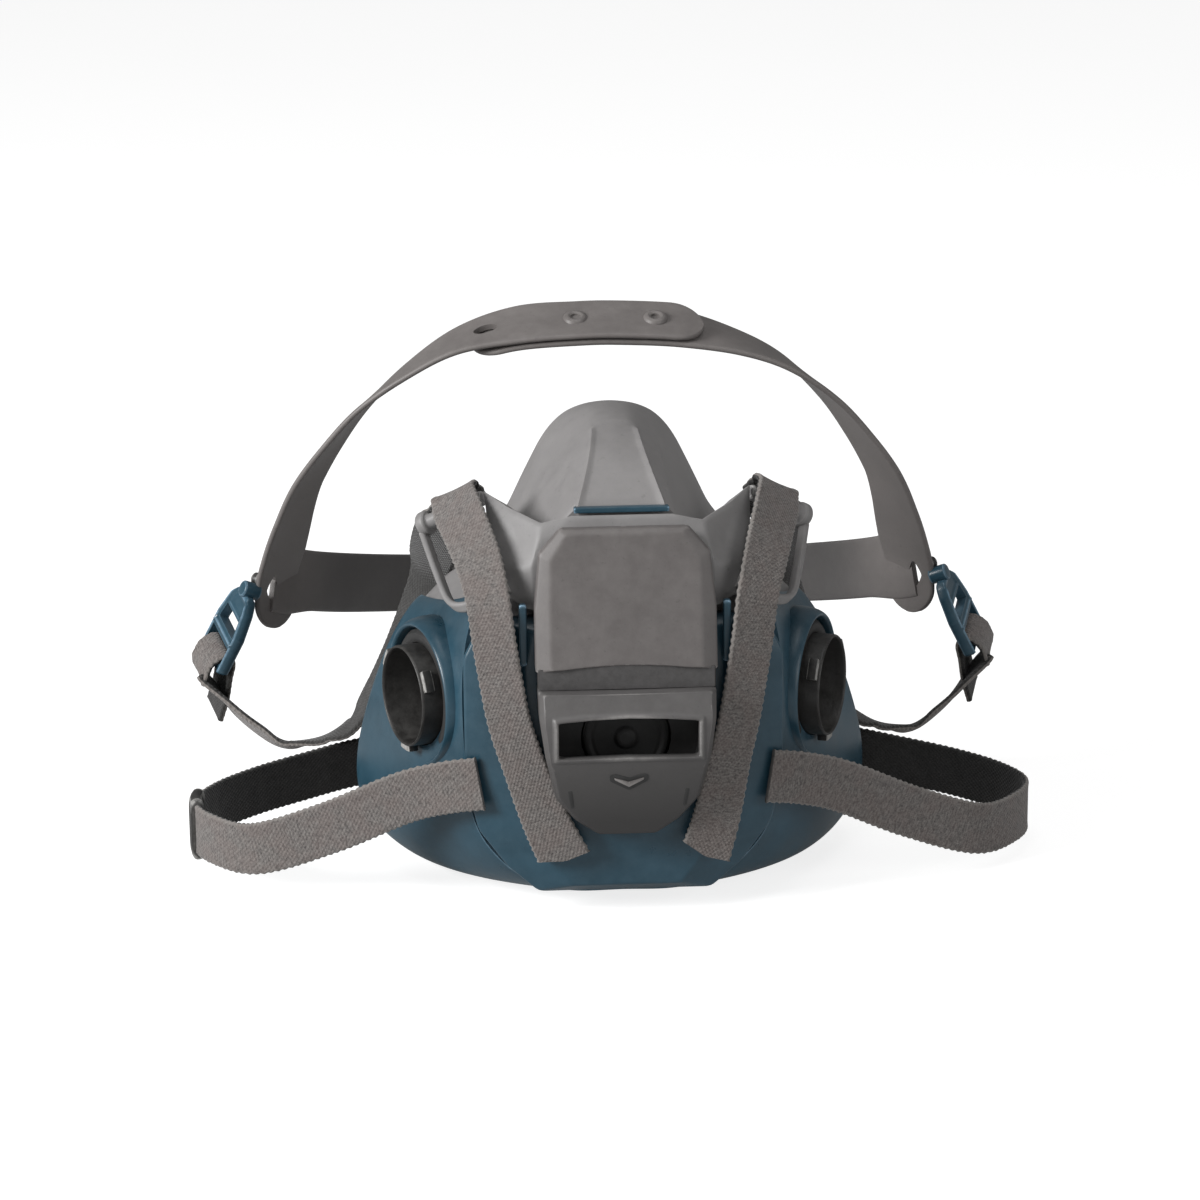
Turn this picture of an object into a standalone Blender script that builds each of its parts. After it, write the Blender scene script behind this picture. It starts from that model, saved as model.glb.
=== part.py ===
"""Half-mask respirator with a head cradle. Metres, +Z up, -Y is the front.

The origin is the centre of the face opening.
"""
import math

import bmesh
import bpy
import numpy as np
from mathutils import Vector

MM = 0.001
WALL = 2.2
WEB_W = 15.0
WEB_T = 1.5
CRADLE_W = 19.0
CRADLE_T = 1.8
PORT_R = 14.5
PORT_BORE = 11.5
PORT_FACE = (61.4, -33.0, -9.5)
PORT_AXIS = (0.9206, -0.3905, 0.0)
VALVE_Z = -13.5
HINGE_Y = -60.0
HINGE_Z = 43.5

# half outlines of the face cup, nose to chin: (x, y, z) at the rim, half way and at the front
RIM = [(0, 3, 67.4), (7, 3, 66.6), (13, 4, 64), (18.5, 6, 58), (24.3, 8, 46), (29.5, 9, 35),
       (40, 9, 22), (54, 9, 8), (63, 9, -5), (70.6, 9, -24), (74, 8, -40), (72, 6, -51),
       (65.5, 4, -58), (53, 3, -61), (26, 2, -62), (0, 2, -62)]
MID = [(0, -28, 64.5), (6.3, -28, 64.1), (13, -28, 58.5), (18, -28, 51), (23, -28, 43.5),
       (27, -28, 36), (35, -28, 26), (44, -28, 16), (50, -28, 4), (53, -28, -12),
       (56, -28, -30), (58, -27, -47), (55, -25, -57), (45, -26, -61.5), (24, -28, -62.3),
       (0, -28, -62.3)]
FRONT = [(0, -52, 49.5), (6.5, -52, 49.4), (12.5, -52, 48.5), (16, -52, 45.5), (19, -52, 42),
         (22, -52, 38), (26, -52, 33), (33, -52, 27), (39, -52, 18), (42, -52, 2),
         (42, -52, -22), (40, -52, -40), (33, -52, -51), (24, -52, -57), (13, -52, -59.5),
         (0, -52, -59.5)]
PLATE = [(0, 20), (20, 20), (39, 19), (44.5, 8), (44.5, -28), (41, -42), (33, -53), (24.5, -60.5),
         (0, -60.5)]
HEAD_STRAP = [(19, -66.3, -50), (25.3, -65.6, -37), (30.6, -65.4, -23), (34.2, -64.6, -2),
              (36.2, -64.0, 9), (38.0, -63.0, 18), (39.6, -59.6, 26.0), (43.4, -46.6, 34.3),
              (46.0, -32.8, 44.3), (45.4, -28.6, 47.8), (43.9, -25.0, 46.2), (45.5, -18, 41),
              (50.2, -3, 30.5), (54.0, 21.5, 13), (57.0, 25, 2.5), (60.6, 27.5, -7.3), (64.9, 30, -17.5),
              (70.0, 34, -28), (75.9, 39.5, -38.2), (80.8, 44, -42.8), (85.8, 48, -46.2),
              (91.6, 51.5, -48.3), (97.5, 54.5, -49.2), (104, 58, -46.4), (112, 61.5, -39.5), (118.5, 65.5, -31)]
NECK_STRAP = [(50.0, -55.6, -29.6), (62, -51, -34), (83, -42.5, -45), (104, -33.5, -53.6),
              (117, -21, -54.4), (122, -7, -54.4), (117, 8, -54.4), (106, 21, -54),
              (92, 32, -53.4), (74, 44, -52.6), (45, 58, -52), (16, 68, -52)]


def material(name, colour, rough, metal=0.0):
    """A Principled material."""
    mat = bpy.data.materials.new(name)
    mat.use_nodes = True
    bsdf = mat.node_tree.nodes["Principled BSDF"]
    bsdf.inputs["Base Color"].default_value = (*colour, 1.0)
    bsdf.inputs["Roughness"].default_value = rough
    bsdf.inputs["Metallic"].default_value = metal
    return mat


def finish_mesh(name, bm, mat, smooth=False):
    """Turn a bmesh in millimetres into an object in metres."""
    bmesh.ops.triangulate(bm, faces=bm.faces, quad_method="FIXED")
    bmesh.ops.recalc_face_normals(bm, faces=bm.faces)
    bmesh.ops.scale(bm, vec=(MM, MM, MM), verts=bm.verts)
    mesh = bpy.data.meshes.new(name)
    bm.to_mesh(mesh)
    bm.free()
    mesh.materials.append(mat)
    obj = bpy.data.objects.new(name, mesh)
    bpy.context.scene.collection.objects.link(obj)
    for poly in mesh.polygons:
        poly.use_smooth = smooth
    return obj


def loft(name, rings, mat, smooth=False):
    """Closed solid through equal rings, with a flat cap at each end."""
    bm = bmesh.new()
    rows = [[bm.verts.new(tuple(map(float, p))) for p in ring] for ring in rings]
    count = len(rows[0])
    for low, high in zip(rows, rows[1:]):
        for i in range(count):
            j = (i + 1) % count
            bm.faces.new((low[i], low[j], high[j], high[i]))
    caps = [bm.faces.new(rows[0][::-1]), bm.faces.new(rows[-1])]
    bmesh.ops.triangulate(bm, faces=caps)
    return finish_mesh(name, bm, mat, smooth)


def ring_solid(name, rings, mat, smooth=True):
    """Closed solid whose profile is itself a loop, such as a pipe."""
    bm = bmesh.new()
    rows = [[bm.verts.new(tuple(map(float, p))) for p in ring] for ring in rings]
    count = len(rows[0])
    for k, low in enumerate(rows):
        high = rows[(k + 1) % len(rows)]
        for i in range(count):
            j = (i + 1) % count
            bm.faces.new((low[i], low[j], high[j], high[i]))
    return finish_mesh(name, bm, mat, smooth)


def slab(name, outer, inner, mat, smooth=False):
    """Closed solid between two equal grids of points."""
    bm = bmesh.new()
    a = [[bm.verts.new(tuple(map(float, p))) for p in row] for row in outer]
    b = [[bm.verts.new(tuple(map(float, p))) for p in row] for row in inner]
    rows, cols = len(a), len(a[0])
    for i in range(rows - 1):
        for j in range(cols - 1):
            bm.faces.new((a[i][j], a[i][j + 1], a[i + 1][j + 1], a[i + 1][j]))
            bm.faces.new((b[i][j], b[i + 1][j], b[i + 1][j + 1], b[i][j + 1]))
    rim = [(0, j) for j in range(cols)] + [(i, cols - 1) for i in range(1, rows)]
    rim += [(rows - 1, j) for j in range(cols - 2, -1, -1)]
    rim += [(i, 0) for i in range(rows - 2, 0, -1)]
    for (i, j), (k, m) in zip(rim, rim[1:] + rim[:1]):
        bm.faces.new((a[i][j], b[i][j], b[k][m], a[k][m]))
    return finish_mesh(name, bm, mat, smooth)


def mirror(points, side):
    """Points with x times the side."""
    return [(p[0] * side, p[1], p[2]) for p in points]


def full_ring(half):
    """A half outline and its mirror as one loop."""
    half = np.array(half, float)
    return np.vstack([half, half[-2:0:-1] * (-1, 1, 1)])


def spline(points, steps):
    """Catmull-Rom curve through the points."""
    p = np.array(points, float)
    p = np.vstack([2 * p[0] - p[1], p, 2 * p[-1] - p[-2]])
    out = []
    for k in range(1, len(p) - 2):
        a, b, c, d = p[k - 1:k + 3]
        for t in np.arange(steps) / steps:
            out.append(0.5 * (2 * b + (c - a) * t + (2 * a - 5 * b + 4 * c - d) * t * t
                              + (3 * b - a - 3 * c + d) * t ** 3))
    out.append(p[-2])
    return np.array(out)


def ribbon(name, path, across, width, thick, mat, steps=2):
    """Flat band along a path; across gives the width's direction at each path point."""
    mid = spline(path, steps)
    wide = spline(across, steps)
    along = np.gradient(mid, axis=0)
    along /= np.linalg.norm(along, axis=1)[:, None]
    wide -= along * np.sum(wide * along, axis=1)[:, None]
    wide /= np.linalg.norm(wide, axis=1)[:, None]
    flat = np.cross(along, wide)
    width = np.broadcast_to(np.array(width, float), len(path))
    width = np.interp(np.arange(len(mid)) / steps, np.arange(len(path)), width)[:, None]
    a, b = wide * width / 2, flat * thick / 2
    rings = np.stack([mid + a + b, mid - a + b, mid - a - b, mid + a - b], axis=1)
    return loft(name, rings, mat)


def cup_point(v, offset=0.0):
    """Ring of the cup at v (0 rim, 1 front), moved out along its normal."""
    keys = [full_ring(r) for r in (RIM, MID, FRONT)]

    def at(t):
        return keys[0] * (1 - t) * (1 - 2 * t) + keys[1] * 4 * t * (1 - t) + keys[2] * t * (2 * t - 1)

    here = at(v)
    if not offset:
        return here
    down = at(min(v + 0.02, 1.0)) - at(max(v - 0.02, 0.0))
    round_ = np.roll(here, -1, axis=0) - np.roll(here, 1, axis=0)
    normal = np.cross(round_, down)
    normal /= np.linalg.norm(normal, axis=1)[:, None]
    out = here - here.mean(axis=0)
    flip = np.sign(np.sum(normal * out, axis=1))
    return here + normal * flip[:, None] * offset


def disc(centre, axis, radius, at, count=32):
    """Circle of points round an axis, at a distance along it."""
    axis = Vector(axis).normalized()
    turn = axis.to_track_quat("Z", "Y").to_matrix()
    out = []
    for k in range(count):
        a = 2 * math.pi * k / count
        p = turn @ Vector((math.cos(a) * radius, math.sin(a) * radius, at))
        out.append(tuple(Vector(centre) + p))
    return out


def rod(name, centre, axis, radius, low, high, mat, count=32):
    """Solid cylinder."""
    rings = [disc(centre, axis, radius, t, count) for t in (low, high)]
    return loft(name, rings, mat, smooth=False)


def pipe(name, centre, axis, profile, mat, count=32):
    """Ring of revolution from a closed profile of (radius, distance)."""
    rings = [disc(centre, axis, r, t, count) for r, t in profile]
    return ring_solid(name, rings, mat)


def boolean(obj, other, operation):
    """Exact Boolean, applied at once; the other object is used up."""
    mod = obj.modifiers.new("bool", "BOOLEAN")
    mod.object = other
    mod.operation = operation
    mod.solver = "EXACT"
    graph = bpy.context.evaluated_depsgraph_get()
    mesh = bpy.data.meshes.new_from_object(obj.evaluated_get(graph))
    old = obj.data
    obj.modifiers.clear()
    obj.data = mesh
    bpy.data.meshes.remove(old)
    bpy.data.objects.remove(other)
    return obj


def cut(obj, other):
    """Subtract."""
    return boolean(obj, other, "DIFFERENCE")


def join(obj, other):
    """Unite."""
    return boolean(obj, other, "UNION")


def block(name, low, high, mat):
    """Box between two corners."""
    (x0, y0, z0), (x1, y1, z1) = low, high
    rings = [[(x0, y0, z), (x1, y0, z), (x1, y1, z), (x0, y1, z)] for z in (z0, z1)]
    return loft(name, rings, mat)


def build_face_seal(mat):
    """Silicone rim of the cup with an in-turned lip, open at the back."""
    outer = [cup_point(v) for v in (0.25, 0.14, 0.04, 0.0)]
    centre = np.array([0, 0, -8.0])
    lip = (cup_point(0.0) - centre) * (0.84, 1, 0.84) + centre
    inner = [cup_point(v, -WALL) for v in (0.06, 0.14, 0.25)]
    rings = outer + [lip + (0, 4.0, 0), lip + (0, 2.4, 0)] + inner
    return ring_solid("face_seal", rings, mat)


def build_seal_cup(mat):
    """Silicone wall of the cup in front of the rim, with holes for the ports and the exhalation seat."""
    outer = [cup_point(v) for v in (1.0, 0.75, 0.5, 0.262)]
    inner = [cup_point(v, -WALL) for v in (0.262, 0.5, 0.75)]
    last = cup_point(1.0, -WALL)
    last[:, 1] = -52 + WALL
    obj = loft("seal_cup", outer + inner + [last], mat, smooth=True)
    cut(obj, rod("c", (0, 0, VALVE_Z), (0, 1, 0), 13.0, -60, -40, mat))
    for side in (-1, 1):
        face = mirror([PORT_FACE], side)[0]
        axis = mirror([PORT_AXIS], side)[0]
        cut(obj, rod("c", face, axis, PORT_R + 0.4, -30, 6, mat))
    return obj


def build_shell(mat):
    """Blue shell over cheeks and chin with a collar at each inlet."""
    index = list(range(7, 24))
    rows = (1.0, 0.75, 0.5, 0.25, 0.04)
    outer = [cup_point(v, 3.0)[index] for v in rows]
    inner = [cup_point(v, 1.3)[index] for v in rows]
    obj = slab("facepiece_shell", outer, inner, mat, smooth=True)
    sides = [(mirror([PORT_FACE], k)[0], mirror([PORT_AXIS], k)[0]) for k in (-1, 1)]
    for face, axis in sides:
        join(obj, loft("c", [disc(face, axis, 21.5, -10.3), disc(face, axis, 20.3, -5.0)], mat))
    cut(obj, loft("c", [cup_point(v, 0.9) for v in rows], mat))
    for face, axis in sides:
        cut(obj, rod("c", face, axis, 19.1, -5.5, 12, mat))
        cut(obj, rod("c", face, axis, PORT_R + 0.4, -30, 6, mat))
    return obj


def build_front_plate(mat):
    """Faceted plate with a central hole for the exhalation seat."""
    half = [(x, 0, z) for x, z in PLATE]
    flat = full_ring(half)
    back, edge, face = flat.copy(), flat.copy(), flat.copy()
    back[:, 1] = -55.0
    edge[:, 1] = -57.5
    face[:, [0, 2]] = flat[:, [0, 2]] * (0.62, 0.93) + (0, -1.0)
    face[:, 1] = -63.0
    obj = loft("front_plate", [back, edge, face], mat)
    return cut(obj, rod("c", (0, 0, VALVE_Z), (0, 1, 0), 16.4, -70, -50, mat))


def build_yoke(mat):
    """Yoke plate with a two-armed ear each side."""
    low = [(-33.5, -58.8, 27.5), (-26, -59.8, 22), (26, -59.8, 22), (33.5, -58.8, 27.5)]
    mid = [(-37.3, -48.5, 38.5), (-25, -57.5, 36), (25, -57.5, 36), (37.3, -48.5, 38.5)]
    top = [(-36.5, -34.5, 50), (-22, -55, 47), (22, -55, 47), (36.5, -34.5, 50)]
    front = [low, mid, top]
    back = [[(x, y + 2.0, z - 1.4) for x, y, z in row] for row in front]
    for row in back:
        for k in (1, 2):
            row[k] = (row[k][0], front[back.index(row)][k][1] + 1.6, row[k][2] + 1.4)
    obj = slab("strap_yoke", front, back, mat)
    for side in (-1, 1):
        path = mirror([(53.0, -25.0, 34.4), (50.5, -39, 27.5), (47.5, -49.5, 21.8), (44, -54.5, 21.9),
                       (38.0, -56.2, 24.6), (31.5, -57.6, 28.5)], side)
        across = mirror([(0.7, -0.5, 0.3)] * 2 + [(0.6, 0, 0.5), (0.5, 0.1, 0.7)] + [(0.1, 0.3, 1)] * 2, side)
        join(obj, ribbon("c", path, across, 3.2, 2.0, mat, steps=1))
    return obj


def build_guide_bar(name, side, mat):
    """Round bar across the ear, with a knob at its outer end."""
    centre = mirror([(43.4, -28.9, 44.1)], side)[0]
    axis = mirror([(0.74, 0.5, -0.45)], side)[0]
    rings = [(2.2, -7.8), (2.2, 12.0), (3.4, 12.0), (3.4, 15.2)]
    return loft(name, [disc(centre, axis, r, t, 20) for r, t in rings], mat)


def sheared(outline, depth):
    """Outline of (x, z) points with y from a function of z."""
    half = [(x, depth(z), z) for x, z in outline]
    return full_ring(half)


def build_latch_cover(mat):
    """Upper cover: a chamfered block that leans with the mask."""
    outline = [(0, 45.7), (17.6, 45.7), (23.5, 39), (25, 24), (25, 2.6), (0, 2.6)]
    front = [(0, 44.5), (16.6, 44.5), (21.8, 38), (23.0, 24), (23.0, 3.6), (0, 3.6)]

    def back(z):
        return -64.4 + 0.069 * (z - 3)

    def edge(z):
        return -71.5 + 0.185 * (z - 3)

    def face(z):
        return -74.0 + 0.21 * (z - 3)

    rings = [sheared(outline, back), sheared(outline, edge), sheared(front, face)]
    obj = loft("latch_cover", rings, mat)
    lip = [(-26, -80, 2.0), (-26, -72.4, 2.0), (26, -72.4, 2.0), (26, -80, 2.0)]
    cut(obj, loft("c", [lip, [(x, y, 8.5) for x, y, z in lip]], mat))
    return obj


def exhaust_front(z):
    """Depth of the lower cover's face at height z."""
    return float(np.interp(z, (-41, -16, -5, 2), (-70.0, -78.6, -78.6, -75.0)))


def build_exhaust_cover(mat):
    """Lower cover: hollow, open at the back, with a wide slot and a small chevron."""
    outline = [(0, 2.2), (24.5, 2.2), (24.2, -6), (22.8, -16), (20, -29), (14.5, -36), (8.2, -40.6), (0, -40.6)]
    small = [(x * 0.93, z * 0.97 - 0.3) for x, z in outline]
    hole = [(x * 0.86, (z + 18) * 0.88 - 18) for x, z in outline]
    edge = [(x, exhaust_front(z) + 2.5, z) for x, z in outline]
    rings = [sheared(outline, lambda z: -63.4), full_ring(edge), sheared(small, exhaust_front)]
    obj = loft("exhaust_cover", rings, mat)
    inner = [sheared(hole, lambda z: -60.0), sheared(hole, lambda z: exhaust_front(z) + 2.4)]
    cut(obj, loft("c", inner, mat))
    cut(obj, block("c", (-19.2, -90, -14.4), (19.2, -70, -5.6), mat))
    mark = [(-5, -21.2), (-5, -22.8), (0, -25.6), (5, -22.8), (5, -21.2), (0, -24.0)]
    cut(obj, loft("c", [[(x, y, z) for x, z in mark] for y in (-90, exhaust_front(-23) + 0.6)], mat))
    return obj


def build_valve_seat(mat):
    """Tube with a flange and cross spokes."""
    centre = (0, 0, VALVE_Z)
    profile = [(12.6, 49), (12.6, 58.6), (15.9, 58.6), (15.9, 62.8), (12.0, 62.8), (12.0, 64.2),
               (10.4, 64.2), (10.4, 49)]
    obj = pipe("exhalation_valve_seat", centre, (0, -1, 0), profile, mat)
    for low, high in (((-11.2, -61.5, -1), (11.2, -59.5, 1)), ((-1, -61.5, -11.2), (1, -59.5, 11.2))):
        low = (low[0], low[1], low[2] + VALVE_Z)
        high = (high[0], high[1], high[2] + VALVE_Z)
        join(obj, block("c", low, high, mat))
    return obj


def build_port(name, side, mat):
    """Twist-lock inlet ring with lugs and an inner spider."""
    face = mirror([PORT_FACE], side)[0]
    axis = mirror([PORT_AXIS], side)[0]
    profile = [(PORT_R, -17), (PORT_R, 0), (PORT_BORE, 0), (PORT_BORE, -17)]
    obj = pipe(name, face, axis, profile, mat)
    turn = Vector(axis).to_track_quat("Z", "Y").to_matrix()
    for k in range(3):
        a = 2 * math.pi * (k / 3 + 0.08)
        c, s = math.cos(a), math.sin(a)
        rings = []
        for t in (-3.4, -1.2):
            ring = [(PORT_R - 0.8, -3), (PORT_R + 1.8, -2.4), (PORT_R + 1.8, 2.4), (PORT_R - 0.8, 3)]
            rings.append([tuple(Vector(face) + turn @ Vector((r * c - w * s, r * s + w * c, t)))
                          for r, w in ring])
        join(obj, loft("c", rings, mat))
    for k in range(2):
        ends = [(PORT_BORE + 0.8, -0.9), (PORT_BORE + 0.8, 0.9), (-PORT_BORE - 0.8, 0.9), (-PORT_BORE - 0.8, -0.9)]
        if k:
            ends = [(w, -r) for r, w in ends]
        rings = [[tuple(Vector(face) + turn @ Vector((x, y, t))) for x, y in ends] for t in (-14.0, -12.6)]
        join(obj, loft("c", rings, mat))
    return obj


CROWN = [(6, 46, 81.6), (-6, 46, 81.6), (-24, 46.5, 80.4), (-42, 47.8, 75.7), (-57, 49.6, 67.6),
         (-70.5, 52.6, 56), (-82, 57.2, 41.5), (-90.6, 63, 24.5), (-96.4, 69.5, 11), (-99.6, 75.8, 3.4)]
CROWN_W = [(0, 0.92, 0.39)] * 3 + [(0.05, 0.96, 0.2), (0.1, 0.98, 0.05), (0.16, 0.97, -0.12),
                                   (0.3, 0.93, -0.26), (0.42, 0.88, -0.2), (0.46, 0.87, -0.15),
                                   (0.5, 0.86, -0.1)]
BAND = [(-99.5, 73, -0.5), (-92.5, 84, -5), (-84, 99, -10), (-70, 123, -17), (-50, 143, -22.5),
        (-25, 156, -25.5), (0, 160, -26.5)]
BAND_W = [(0, 0.1, 1), (0, 0.05, 1), (0, 0, 1), (0, -0.05, 1), (0, -0.1, 1), (0, -0.15, 1), (0, -0.15, 1)]


def build_cradle(mat):
    """Back band, two wings and a crown strap whose ends overlap."""
    right = [(-x, y, z) for x, y, z in BAND[-2::-1]]
    path = BAND + right
    across = BAND_W + [(-x, y, z) for x, y, z in BAND_W[-2::-1]]
    obj = ribbon("head_cradle", path, across, CRADLE_W, CRADLE_T, mat)
    lift = 1.2
    for side in (1, -1):
        height = lift if side > 0 else -lift
        points = [(x, y + (-0.39 * height if x > -30 else 0.0), z + (0.92 * height if x > -30 else 0.0))
                  for x, y, z in CROWN]
        start = (31.0, points[0][1] + 0.6, points[0][2] - 2.4)
        points = mirror([start] + points, side)
        wide = mirror([CROWN_W[0]] + CROWN_W, side)
        widths = [CRADLE_W] * 8 + [20.5, 23, 24]
        join(obj, ribbon("c", points, wide, widths, CRADLE_T, mat))
        lobe = mirror([(-101.8, 66.5, 3), (-101.5, 69.5, -3.5), (-99, 74, -8.5)], side)
        join(obj, ribbon("c", lobe, mirror([(0.5, 0.86, 0.1)] * 3, side), 11, CRADLE_T, mat))
    return obj


def frame_axes(side):
    """Centre and directions of a buckle on one side."""
    long = Vector((0.45 * side, 0.14, -0.88)).normalized()
    wide = Vector((-0.27 * side, -0.92, -0.29))
    wide = (wide - long * wide.dot(long)).normalized()
    return long, wide, long.cross(wide)


def build_buckle(name, side, mat):
    """Ladder buckle with two slots."""
    long, wide, up = frame_axes(side)
    top = Vector((107.3 * side, 64.2, -4.0))

    def plate(outline, low, high):
        rings = [[tuple(top + long * a + wide * b + up * t) for a, b in outline] for t in (low, high)]
        return loft(name, rings, mat)

    obj = plate([(0, -5), (4, -7.5), (12, -10), (25, -10), (25, 10), (12, 10), (4, 7.5), (0, 5)], -1.6, 1.6)
    cut(obj, plate([(7.5, -5.6), (13, -7.6), (13, 7.6), (7.5, 5.6)], -5, 5))
    cut(obj, plate([(16.5, -8.4), (22.0, -8.4), (22.0, 8.4), (16.5, 8.4)], -5, 5))
    return obj


def make_mirror_pair(build, name, mat):
    """The left and right copy of a piece."""
    for label, side in (("left", -1), ("right", 1)):
        build(f"{name}_{label}", side, mat)


def build_head_strap(name, side, mat):
    """Webbing from the front plate, over the ear's bar, down and up to the buckle."""
    bar = (0.74, 0.5, -0.45)
    across = [(0.95, 0.1, 0.2)] * 3 + [(0.97, 0.2, 0.0)] * 3 + [(0.9, 0.35, -0.2)] + [bar] * 4
    across += [(0.75, 0.55, -0.3), (0.7, 0.62, 0), (0.5, 0.85, 0), (0.4, 0.9, 0), (0.36, 0.92, -0.05)]
    across += [(0.32, 0.94, -0.1), (0.26, 0.96, -0.15), (0.18, 0.97, -0.18)] + [(0.1, 0.98, -0.2)] * 4
    across += [(0.12, 0.97, -0.1), (0.25, 0.94, 0.1), (0.35, 0.9, 0.25)]
    return ribbon(name, mirror(HEAD_STRAP, side), mirror(across, side), WEB_W, WEB_T, mat, steps=2)


def build_neck_strap(name, side, mat):
    """Webbing from the front plate round to the clasp."""
    across = [(0.3, 0.1, 0.95), (0.2, 0, 1), (0.1, 0, 1)] + [(0, 0, 1)] * 9
    return ribbon(name, mirror(NECK_STRAP, side), mirror(across, side), WEB_W, WEB_T, mat, steps=2)


def main():
    """Build every sub-part."""
    for obj in list(bpy.data.objects):
        bpy.data.objects.remove(obj)
    grey = material("silicone_grey", (0.20, 0.19, 0.19), 0.6)
    blue = material("shell_blue", (0.035, 0.085, 0.13), 0.45)
    warm = material("cover_grey", (0.13, 0.12, 0.115), 0.55)
    black = material("black_plastic", (0.015, 0.015, 0.016), 0.45)
    band = material("cradle_grey", (0.15, 0.14, 0.13), 0.6)
    web = material("webbing_grey", (0.12, 0.11, 0.105), 0.9)
    rubber = material("valve_rubber", (0.03, 0.03, 0.03), 0.7)
    steel = material("pin_steel", (0.45, 0.45, 0.46), 0.35, 1.0)

    build_face_seal(grey)
    build_seal_cup(grey)
    build_shell(blue)
    build_front_plate(blue)
    build_yoke(warm)
    rod("latch_pin", (0, HINGE_Y, HINGE_Z), (1, 0, 0), 1.2, -17, 17, steel, 16)
    build_latch_cover(warm)
    build_exhaust_cover(warm)
    build_valve_seat(black)
    rod("exhalation_valve", (0, 0, VALVE_Z), (0, -1, 0), 11.6, 64.5, 65.3, rubber)
    make_mirror_pair(build_port, "inlet_port", black)
    make_mirror_pair(build_guide_bar, "guide_bar", warm)
    make_mirror_pair(build_head_strap, "head_strap", web)
    make_mirror_pair(build_neck_strap, "neck_strap", web)
    make_mirror_pair(build_buckle, "buckle", blue)
    for label, side in (("left", -1), ("right", 1)):
        face = mirror([PORT_FACE], side)[0]
        axis = mirror([PORT_AXIS], side)[0]
        ring = [(14.9, -4.7), (18.0, -4.7), (18.0, -3.7), (14.9, -3.7)]
        pipe(f"inlet_gasket_{label}", face, axis, ring, rubber)
        rod(f"inhalation_valve_{label}", face, axis, 10.9, -15.2, -14.4, rubber)
        foot = (19.0 * side, -63.0, -50.5)
        rod(f"strap_anchor_{label}", foot, (0, -1, 0), 2.0, 0.3, 2.0, black, 16)
        tab = [(45.0, -57.0), (46.6, -57.0), (46.6, -55.0), (45.0, -55.0)]
        rings = [[(x * side, y, z) for x, y in tab] for z in (-35, -22)]
        loft(f"neck_anchor_{label}", rings, black)
    build_cradle(band)
    for label, x, z in (("front", -6.8, 81.6), ("rear", 17.1, 81.2)):
        rod(f"crown_stud_{label}", (x, 46, z), (0, -0.39, 0.92), 3.0, 2.4, 3.8, band, 20)
    loft("neck_slide", [[(-123.2, -12, z), (-125.4, -12, z), (-125.4, -2, z), (-123.2, -2, z)]
                        for z in (-62.4, -46.4)], black)
    block("neck_clasp_loop", (0.4, 68.4, -60), (15.4, 71.4, -44), black)
    block("neck_clasp_hook", (-15.4, 68.4, -60), (0.0, 71.4, -44), black)


main()
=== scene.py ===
"""Half-mask respirator on its head harness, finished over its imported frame.

Builders work in millimetres and store metres. +Z is up, -Y is the front, and the origin is
the centre of the face opening. A surface is a grid of points; its docstring says its formula.
"""

import math

import bpy
import numpy as np
from mathutils import Matrix, Vector


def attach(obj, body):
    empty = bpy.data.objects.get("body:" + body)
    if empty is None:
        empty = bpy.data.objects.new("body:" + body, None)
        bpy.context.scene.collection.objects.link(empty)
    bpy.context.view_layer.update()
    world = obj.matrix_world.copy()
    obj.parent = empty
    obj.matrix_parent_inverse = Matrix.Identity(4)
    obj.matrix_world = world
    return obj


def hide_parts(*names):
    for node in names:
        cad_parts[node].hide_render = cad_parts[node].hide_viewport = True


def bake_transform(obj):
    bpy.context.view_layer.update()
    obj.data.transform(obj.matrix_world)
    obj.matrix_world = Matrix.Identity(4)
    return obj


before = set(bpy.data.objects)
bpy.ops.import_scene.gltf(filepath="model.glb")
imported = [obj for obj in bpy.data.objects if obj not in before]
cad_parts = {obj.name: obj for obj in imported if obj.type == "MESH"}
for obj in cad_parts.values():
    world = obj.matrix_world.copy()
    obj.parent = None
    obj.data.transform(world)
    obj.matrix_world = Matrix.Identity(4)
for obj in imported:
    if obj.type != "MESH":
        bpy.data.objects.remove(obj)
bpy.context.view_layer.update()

MM = 0.001
SIDES = (("left", -1), ("right", 1))

WALL = 2.2             # thickness of the cup
CUP_FRONT = -52        # y of the cup's front face
SPAN = 14              # steps between two points of an outline
PORT_FACE = np.array([61.4, -33.0, -9.5])
PORT_AXIS = np.array([0.9206, -0.3905, 0.0])
PORT_HOLE = 14.8       # radius of the cup's and the shell's hole at a port
VALVE_Z = -13.5        # height of the exhalation valve's axis
VALVE_HOLE = 13.0
PLATE_HOLE = 16.5
PLATE_FRONT, PLATE_BACK = -63.0, -55.0
WEB_WIDTH, WEB_THICK, WEB_FRINGE, WEB_SWELL = 15.0, 1.5, 0.5, 0.18
CRADLE_WIDTH, CRADLE_THICK = 19.0, 1.8
BUCKLE_LENGTH, BUCKLE_THICK = 25, 1.6
BUCKLE_SLOTS = (((7.5, 13.0), 0.72), ((16.5, 22.0), 0.84))     # ends, and share of the width

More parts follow.
